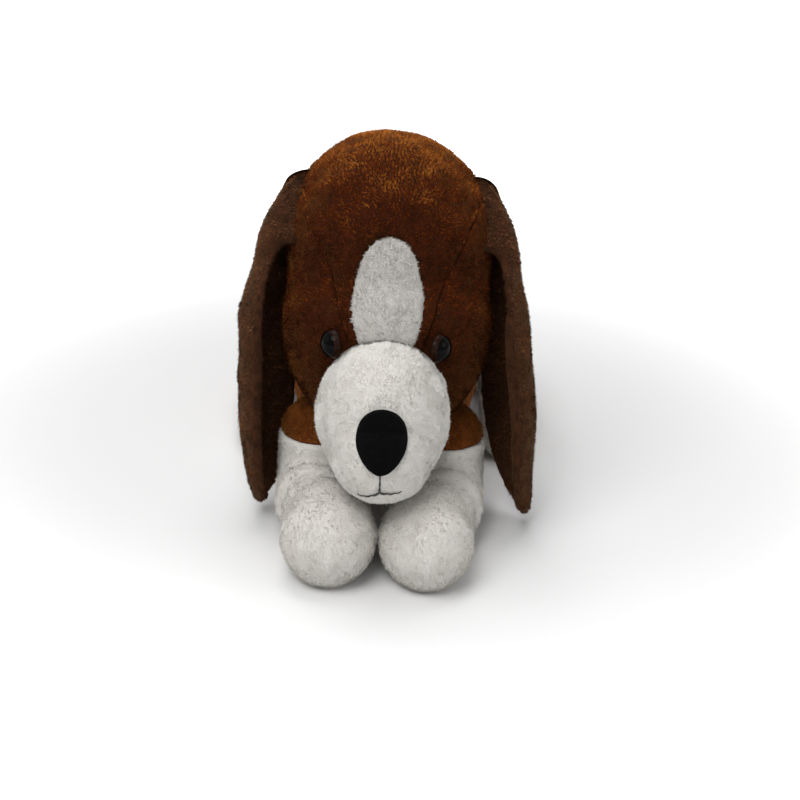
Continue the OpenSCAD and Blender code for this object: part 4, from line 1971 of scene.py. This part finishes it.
    def build_stitches(self) -> bpy.types.Object:
        """Makes the ladder stitches that close the last seam, under the tail.

        Returns:
            All stitches as one piece.
        """
        points, faces = [], []
        rings, corners = 9, 8
        t = np.linspace(-1, 1, rings)
        back, up = np.tile([0.0, 1.0, 0.0], (rings, 1)), np.tile([0.0, 0.0, 1.0], (rings, 1))
        for k in range(self.stitches):
            u = np.array(0.945 + 0.006 * k)
            at = self.form(u, np.array(270.0), 0.0)
            path = at + np.stack([t * 2.6, 0.9 + 0.5 * (1 - t * t), 0.25 * t], -1)
            points.append(thread_tube(path, back, up, np.full(rings, self.thread_r), corners))
            faces.append(grid_quads(rings, corners, True, False) + k * rings * corners)
        made = make_mesh("closing_thread", np.concatenate(points), np.concatenate(faces))
        made.data.materials.append(MATERIALS["tan_thread"])
        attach(made, "torso")
        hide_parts("closing_stitches")
        return made


@dataclass
class Foreleg:
    """A foreleg that lies forward on the ground, creased at the elbow."""

    paw_w: float = 41.0
    height: float = 38.0
    arm_r: float = 19.0
    shoulder_h: float = 62.0
    crease_gap: float = 1.5
    paw_x: float = 21.1
    forearm_end: float = 0.5
    elbow_end: float = 0.78
    sleeve_start: float = 0.816
    sole_spread: float = 1.14
    crease_depth: float = 1.3
    density: float = 3.8

    def __post_init__(self) -> None:
        """Finds the shoulder and the paw in the frame."""
        self.shoulder = joint_place("foreleg_splay_left")
        self.front = float(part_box("foreleg_filling_left")[0].y) / MM - 2.8
        self.crease_y = self.shoulder[1] - self.arm_r - self.crease_gap
        self.crease_z = self.height + self.crease_gap

    def form(self, u: Array, a: Array, d: float) -> Array:
        """Works out points of the left foreleg.

        Args:
            u: Places along it, from 0 to 1.
            a: Angles round it, in degrees.
            d: How far below the surface, in millimetres.

        Returns:
            The points.
        """
        turn = np.radians(a)
        sin, cos = np.sin(turn), np.cos(turn)
        under = sin < 0
        # The forearm lies along the ground, with the paw at its front.
        v = lerp(0.0, 1, np.clip(u / self.forearm_end, 0, 1))
        run = (self.crease_y - self.front - d) * v * v
        r = self.paw_w / 2 - d
        k = np.where(run < r, dome(r - run, r), 1.0)
        y = self.front + d + run
        far = (y - self.front - r) / (self.crease_y - self.front - r)
        x = lerp(self.paw_x, self.shoulder[0], ramp(far * 2 - 1))
        w = lerp(self.paw_w / 2, self.arm_r, ramp(far))
        h = (self.height / 2 - d) * np.where(under, self.sole_spread, 1.0)
        z = np.maximum(d, self.height / 2 + h * k * sin)
        fore = np.stack([x + (w - d) * k * cos, y, z], -1)
        # The elbow turns up about the crease.
        t = np.clip((u - self.forearm_end) / (self.elbow_end - self.forearm_end), 0, 1)
        h = lerp(self.height / 2, self.arm_r, t)
        spread = np.where(under, lerp(self.sole_spread, 1, t), 1.0)
        out = self.crease_gap + h - (h - d) * spread * sin
        bend = np.radians(90 * t)
        elbow = np.stack(
            [
                self.shoulder[0] + (self.arm_r - d) * cos,
                self.crease_y + out * np.sin(bend),
                np.maximum(d, self.crease_z - out * np.cos(bend)),
            ],
            -1,
        )
        # The upper arm stands up to the shoulder.
        t = np.radians(np.clip((u - self.elbow_end) / (1 - self.elbow_end), 0, 1) * 86)
        r = (self.arm_r - d) * np.cos(t)
        arm = np.stack(
            [
                self.shoulder[0] + r * cos,
                self.shoulder[1] - r * sin,
                self.crease_z + (self.shoulder_h - d - self.crease_z) * np.sin(t),
            ],
            -1,
        )
        u = u[..., None]
        return np.where(u <= self.forearm_end, fore, np.where(u <= self.elbow_end, elbow, arm))

    def relief(self, p: Array) -> Array:
        """Folds the plush in along the arch where the forearm meets the upper arm.

        Args:
            p: Points in millimetres.

        Returns:
            How far each point moves out.
        """
        arch = self.crease_y - 10 + 0.16 * (p[..., 0] - self.paw_x)
        off = p[..., 1] - arch
        fold = np.exp(-((off / 3.0) ** 2)) * self.crease_depth
        swell = np.exp(-(((off + 11) / 9.0) ** 2)) * 0.9
        high = ramp((p[..., 2] - 8) / 14)
        return (swell - fold) * high

    def build(self) -> None:
        """Makes both forelegs."""

        def outer(s: Array, t: Array) -> tuple[Array, Array]:
            """Places the outer half.

            Args:
                s: Places from its start to its end, from 0 to 1.
                t: Places across it, from 0 to 1.

            Returns:
                The places u and a on the form.
            """
            return lerp(0.0, self.sleeve_start, s), lerp(-90.0, 90.0, t)

        def inner(s: Array, t: Array) -> tuple[Array, Array]:
            """Places the inner half.

            Args:
                s: Places from its start to its end, from 0 to 1.
                t: Places across it, from 0 to 1.

            Returns:
                The places u and a on the form.
            """
            return lerp(0.0, self.sleeve_start, s), lerp(90.0, 270.0, t)

        def sleeve(s: Array, t: Array) -> tuple[Array, Array]:
            """Places the shoulder sleeve.

            Args:
                s: Places from its start to its end, from 0 to 1.
                t: Places across it, from 0 to 1.

            Returns:
                The places u and a on the form.
            """
            return lerp(self.sleeve_start, 1.0, s), 360 * t

        for side in Side:
            name = side.name.lower()
            common = {"side": side, "relief": self.relief, "density": self.density}
            for pelt in (
                Pelt(f"foreleg_outer_{name}", f"foreleg_{name}", WHITE, "white_plush", self.form,
                     outer, (Edge.END,), (0, -1, -0.2), seed=30, tuck=0.9, pucker=0.2, **common),
                Pelt(f"foreleg_inner_{name}", f"foreleg_{name}", WHITE, "white_plush", self.form,
                     inner, (Edge.END,), (0, -1, -0.2), seed=31, tuck=0.9, pucker=0.2, **common),
                Pelt(f"shoulder_sleeve_{name}", f"foreleg_{name}", TAN, "tan_plush", self.form,
                     sleeve, (Edge.START,), (0, -0.5, -1), closed=True, seed=32, **common),
            ):
                backing, _ = pelt.build()


@dataclass
class HindLeg:
    """A hind leg that lies forward beside the rump."""

    width: float = 24.0
    thigh_h: float = 48.0
    foot_h: float = 27.0
    reach: float = 100.0
    thigh_front: float = 0.2
    thigh_seam: float = 140.0
    sole_spread: float = 1.14
    joint_gap: float = 0.6
    density: float = 1.8

    def __post_init__(self) -> None:
        """Finds the hip in the frame."""
        self.hip = joint_place("hindleg_splay_left")
        self.torso = Torso()

    def form(self, u: Array, a: Array, d: float) -> Array:
        """Works out points of the left hind leg.

        Args:
            u: Places along it, from 0 to 1.
            a: Angles round it, in degrees.
            d: How far below the surface, in millimetres.

        Returns:
            The points.
        """
        rump, rump_y = self.torso.rump, self.torso.rump_y
        tip, end = self.hip[1] - self.reach + d, self.hip[1] + self.width / 2 - d
        y = lerp(tip, end, (1 - np.cos(np.radians(lerp(4, 180, u)))) / 2)
        r = self.width / 2 - d
        k = np.where(y > self.hip[1], dome(y - self.hip[1], r), 1.0)
        k = np.where(y < tip + r, dome(tip + r - y, r), k)
        t = np.clip(y, rump_y - 10, self.hip[1]) - rump_y
        side = dome(t, rump[1] / 2)
        slope = unit(np.stack([side / rump[0], t / rump[1] * 2 / rump[1]], -1))[..., 0]
        x = side * rump[0] / 2 + (self.width / 2 + self.joint_gap) / slope
        x = np.where(y > self.hip[1], self.hip[0], x)
        tall = lerp(
            self.foot_h, self.thigh_h, ramp((y - tip - self.reach * 0.32) / (self.reach * 0.22))
        )
        h = (tall - 2 * d) / 2
        turn = np.radians(a)
        sin = np.sin(turn)
        z = tall / 2 + h * lerp(k, 1, 0.12) * sin * np.where(sin < 0, self.sole_spread, 1.0)
        return np.stack([x + r * k * np.cos(turn), y, np.maximum(d, z)], -1)

    def relief(self, p: Array) -> Array:
        """Folds the plush in behind the foot.

        Args:
            p: Points in millimetres.

        Returns:
            How far each point moves out.
        """
        fold = self.hip[1] - self.reach * 0.55
        return -1.6 * np.exp(-(((p[..., 1] - fold) / 4.0) ** 2)) * ramp((p[..., 2] - 6) / 10)

    def build(self) -> None:
        """Makes both hind legs."""

        def part(a0: float, a1: float, u0: float, u1: float) -> Place:
            """Places a part with straight edges.

            Args:
                a0: Where it begins round the leg, in degrees.
                a1: Where it ends.
                u0: Where it begins along the leg, from 0 to 1.
                u1: Where it ends.

            Returns:
                The place function.
            """
            return lambda s, t: (lerp(u0, u1, s), lerp(a0, a1, t))

        for side in Side:
            name = side.name.lower()
            common = {"side": side, "relief": self.relief, "density": self.density}
            edges = (Edge.START, Edge.LEFT, Edge.RIGHT)
            seam, front = self.thigh_seam, self.thigh_front
            for pelt in (
                Pelt(f"thigh_outer_{name}", f"hindleg_{name}", TAN, "tan_plush", self.form,
                     part(-89.8, seam - 0.2, front, 1), edges, (0, -0.6, -0.6), seed=40, tuck=0.9,
                     **common),
                Pelt(f"thigh_inner_{name}", f"hindleg_{name}", WHITE, "white_plush", self.form,
                     part(seam + 0.2, 269.8, front, 1), edges, (0, -0.6, -0.6), seed=41, tuck=0.9,
                     **common),
                Pelt(f"foot_{name}", f"hindleg_{name}", WHITE, "white_plush", self.form,
                     part(0, 360, 0, front), (Edge.END,), (0, -1, -0.2), closed=True, seed=42,
                     tuck=0.9, **common),
            ):
                backing, _ = pelt.build()


@dataclass
class Tail:
    """A tail that bends up behind the rump, with a white tip."""

    length: float = 72.0
    r: float = 9.0
    bend: float = 48.0
    tip_start: float = 0.68
    density: float = 2.2

    def form(self, u: Array, a: Array, d: float) -> Array:
        """Works out points of the tail.

        Args:
            u: Places along it, from 0 to 1.
            a: Angles round it, in degrees.
            d: How far below the surface, in millimetres.

        Returns:
            The points.
        """
        root = joint_place("tail_wag")
        bend_r = self.length / math.radians(self.bend)
        v = lerp(0.004, 0.996, u)
        r = (self.r - d) * np.where(v < 0.16, dome(0.16 - v, 0.16), 1.0)
        r = r * np.where(v > 0.8, dome(v - 0.8, 0.2), 1.0) * lerp(1, 0.86, v)
        bend, turn = np.radians(self.bend * v), np.radians(a)
        y = root[1] + bend_r * np.sin(bend) - self.r * (1 - v)
        z = root[2] + bend_r * (1 - np.cos(bend))
        rise = r * np.sin(turn)
        return np.stack([r * np.cos(turn), y - rise * np.sin(bend), z + rise * np.cos(bend)], -1)

    def build(self) -> None:
        """Makes the tail."""
        for node, finish, slot, u0, u1, sewn in (
            ("tail_sleeve", TAN, "tan_plush", 0.0, self.tip_start, Edge.END),
            ("tail_tip", WHITE, "white_plush", self.tip_start, 1.0, Edge.START),
        ):
            pelt = Pelt(
                node, "tail", finish, slot, self.form,
                lambda s, t, low=u0, high=u1: (lerp(low, high, s), 360 * t),
                (sewn,), (0, 1, 0.5), closed=True, density=self.density, seed=50, tuck=0.9,
            )
            backing, _ = pelt.build()


# ---------------------------------------------------------------- carried-over nodes and the studio


def dress_inner_nodes() -> None:
    """Gives the stuffing and the washers, which stay as the CAD made them, their materials."""
    for name, node in frame["nodes"].items():
        if "filling" in name:
            material, slot = MATERIALS["stuffing"], "polyester_stuffing"
        elif "washer" in name:
            material, slot = MATERIALS["washer"], "washer_plastic"
        else:
            continue
        node.data.materials.clear()
        node.data.materials.append(material)
        LOG.info("%s keeps its CAD shape", name)


def seen_by(tree: bpy.types.NodeTree, rays: tuple[str, ...]) -> bpy.types.NodeSocket:
    """Tells some kinds of rays from the others.

    Args:
        tree: The node tree.
        rays: The kinds, as the light path names them.

    Returns:
        A value that is 1 for these rays and 0 for others.
    """
    path = add(tree, "ShaderNodeLightPath", {}, {})
    seen = path.outputs[rays[0]]
    for ray in rays[1:]:
        links = {0: seen, 1: path.outputs[ray]}
        seen = add(tree, "ShaderNodeMath", {"operation": "MAXIMUM"}, links).outputs[0]
    return seen


@dataclass
class Studio:
    """A pale floor, soft lamps and the camera.

    The camera stands lift degrees above the dog and distance millimetres from target, leans by roll
    degrees, and looks aim millimetres right of target and above it.
    """

    lift: float = 20.0
    distance: float = 1000.0
    lens: float = 99.99
    sensor: float = 36.0
    roll: float = 2.5
    target: tuple[float, float, float] = (0.0, -60.0, 110.0)
    aim: tuple[float, float] = (4.9505, -57.6058)

    def build_camera(self) -> None:
        """Puts the camera in front of the dog and a little above it."""
        lift, roll = math.radians(self.lift), math.radians(self.roll)
        back = Vector((0, -math.cos(lift), math.sin(lift)))
        level, steep = Vector((1, 0, 0)), back.cross(Vector((1, 0, 0)))
        right = level * math.cos(roll) + steep * math.sin(roll)
        up = steep * math.cos(roll) - level * math.sin(roll)
        target = Vector(self.target) * MM
        at = target + back * self.distance * MM
        aim = right * self.aim[0] + up * self.aim[1]
        look = (target + aim * MM - at).normalized()
        right = (right - look * right.dot(look)).normalized()
        up = right.cross(look)
        camera = bpy.data.cameras.new("camera")
        camera.sensor_width, camera.lens = self.sensor, self.lens
        camera.clip_start, camera.clip_end = 0.01, 20.0
        made = bpy.data.objects.new("camera", camera)
        bpy.context.scene.collection.objects.link(made)
        axes = Matrix((right, up, -look)).transposed().to_4x4()
        made.matrix_world = Matrix.Translation(at) @ axes
        bpy.context.scene.camera = made

    def build_lamps(self) -> None:
        """Hangs large soft lamps all round, and a small one for the glint in the eyes."""
        body_middle = Vector((0, -0.02, 0.08))
        for name, place, size, power in (
            ("key", (-0.4, -0.85, 1.25), 1.0, 11.4),
            ("top", (-0.1, 0.25, 1.6), 1.1, 10.5),
            ("front", (0.1, -1.6, 0.85), 0.8, 2.2),
            ("left_fill", (1.3, -0.6, 0.8), 0.8, 3.0),
            ("right_fill", (-1.3, -0.3, 0.7), 0.8, 1.0),
            ("rear", (-0.3, 1.2, 1.0), 1.0, 4.5),
            ("catch", (-0.3, -1.2, 1.35), 0.1, 1.5),
        ):
            lamp = bpy.data.lights.new(name, "AREA")
            lamp.shape, lamp.size, lamp.energy = "DISK", size, power
            made = bpy.data.objects.new(name, lamp)
            bpy.context.scene.collection.objects.link(made)
            made.location = place
            aim = body_middle - Vector(place)
            made.rotation_mode = "QUATERNION"
            made.rotation_quaternion = aim.to_track_quat("-Z", "Y")

    def build_world(self) -> None:
        """Gives an even pale light, and white where a ray sees past the floor."""
        world = bpy.data.worlds.new("studio_air")
        bpy.context.scene.world = world
        world.use_nodes = True
        tree = world.node_tree
        tree.nodes.clear()
        seen = seen_by(tree, ("Is Camera Ray", "Is Glossy Ray", "Is Transmission Ray"))
        strength = add(
            tree, "ShaderNodeMapRange", {"To Min": 0.1, "To Max": 1.0}, {"Value": seen}
        )
        light = add(
            tree,
            "ShaderNodeBackground",
            {"Color": (1.0, 1.0, 1.0, 1.0)},
            {"Strength": strength.outputs[0]},
        )
        output = add(tree, "ShaderNodeOutputWorld", {}, {})
        tree.links.new(light.outputs[0], output.inputs["Surface"])

    def build_floor(self) -> None:
        """Lays a white seamless floor that keeps the dog's shadow."""
        side = 8.0
        bpy.ops.mesh.primitive_plane_add(size=side, location=(0, 0, 0))
        floor = bpy.context.object
        floor.name = "floor"
        material, tree = new_material("white_paper_floor")
        place = add(tree, "ShaderNodeTexCoord", {}, {})
        far = add(
            tree, "ShaderNodeVectorMath", {"operation": "LENGTH"}, {0: place.outputs["Object"]}
        )
        far = add(
            tree,
            "ShaderNodeMapRange",
            {
                "interpolation_type": "SMOOTHERSTEP",
                "From Min": 0.1,
                "From Max": 0.5,
                "To Min": 0.0,
                "To Max": 1.0,
            },
            {"Value": far.outputs["Value"]},
        )
        seen = seen_by(tree, ("Is Camera Ray", "Is Glossy Ray"))
        strength = add(
            tree,
            "ShaderNodeMath",
            {"operation": "MULTIPLY"},
            {0: far.outputs["Result"], 1: seen},
        )
        paper = add(tree, "ShaderNodeBsdfDiffuse", {"Color": from_hex("#f0f0f0")}, {})
        glow = add(
            tree,
            "ShaderNodeEmission",
            {"Color": (1, 1, 1, 1)},
            {"Strength": strength.outputs[0]},
        )
        both = add(tree, "ShaderNodeAddShader", {}, {0: paper.outputs[0], 1: glow.outputs[0]})
        add(tree, "ShaderNodeOutputMaterial", {}, {"Surface": both.outputs[0]})
        floor.data.materials.append(material)

    def build(self) -> None:
        """Makes the studio."""
        self.build_camera()
        self.build_lamps()
        self.build_world()
        self.build_floor()
        bpy.context.scene.view_settings.view_transform = "Standard"


BLACK_THREAD = ThreadFinish("black_polyester_thread", ("#0d0d0e", "#242426"))
TAN_THREAD = ThreadFinish("tan_polyester_thread", ("#8a5c2e", "#ab7c4a"))
PUPIL = MouldedFinish("polished_black_acrylic", ("#010101", "#020202"), 0.05, 0.05)
IRIS = MouldedFinish("polished_brown_acrylic", ("#1c0a03", "#281207"), 0.09, 0.05)
WASHER = MouldedFinish("moulded_white_polypropylene", ("#dcdcd8", "#e8e8e4"), 0.5, 0.4)
MATERIALS = {
    "felt": FeltFinish().material(),
    "black_thread": BLACK_THREAD.material(),
    "tan_thread": TAN_THREAD.material(),
    "eye_pupil": PUPIL.material(),
    "eye_iris": IRIS.material(),
    "washer": WASHER.material(),
    "stuffing": StuffingFinish().material(),
}


def main() -> None:
    """Builds the dog and its studio."""
    logging.basicConfig(level=logging.INFO, format="%(name)s: %(message)s")
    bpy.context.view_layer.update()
    Studio().build()
    Head().build()
    Ears().build()
    Torso().build()
    Foreleg().build()
    HindLeg().build()
    Tail().build()
    dress_inner_nodes()


if __name__ == "__main__":
    main()
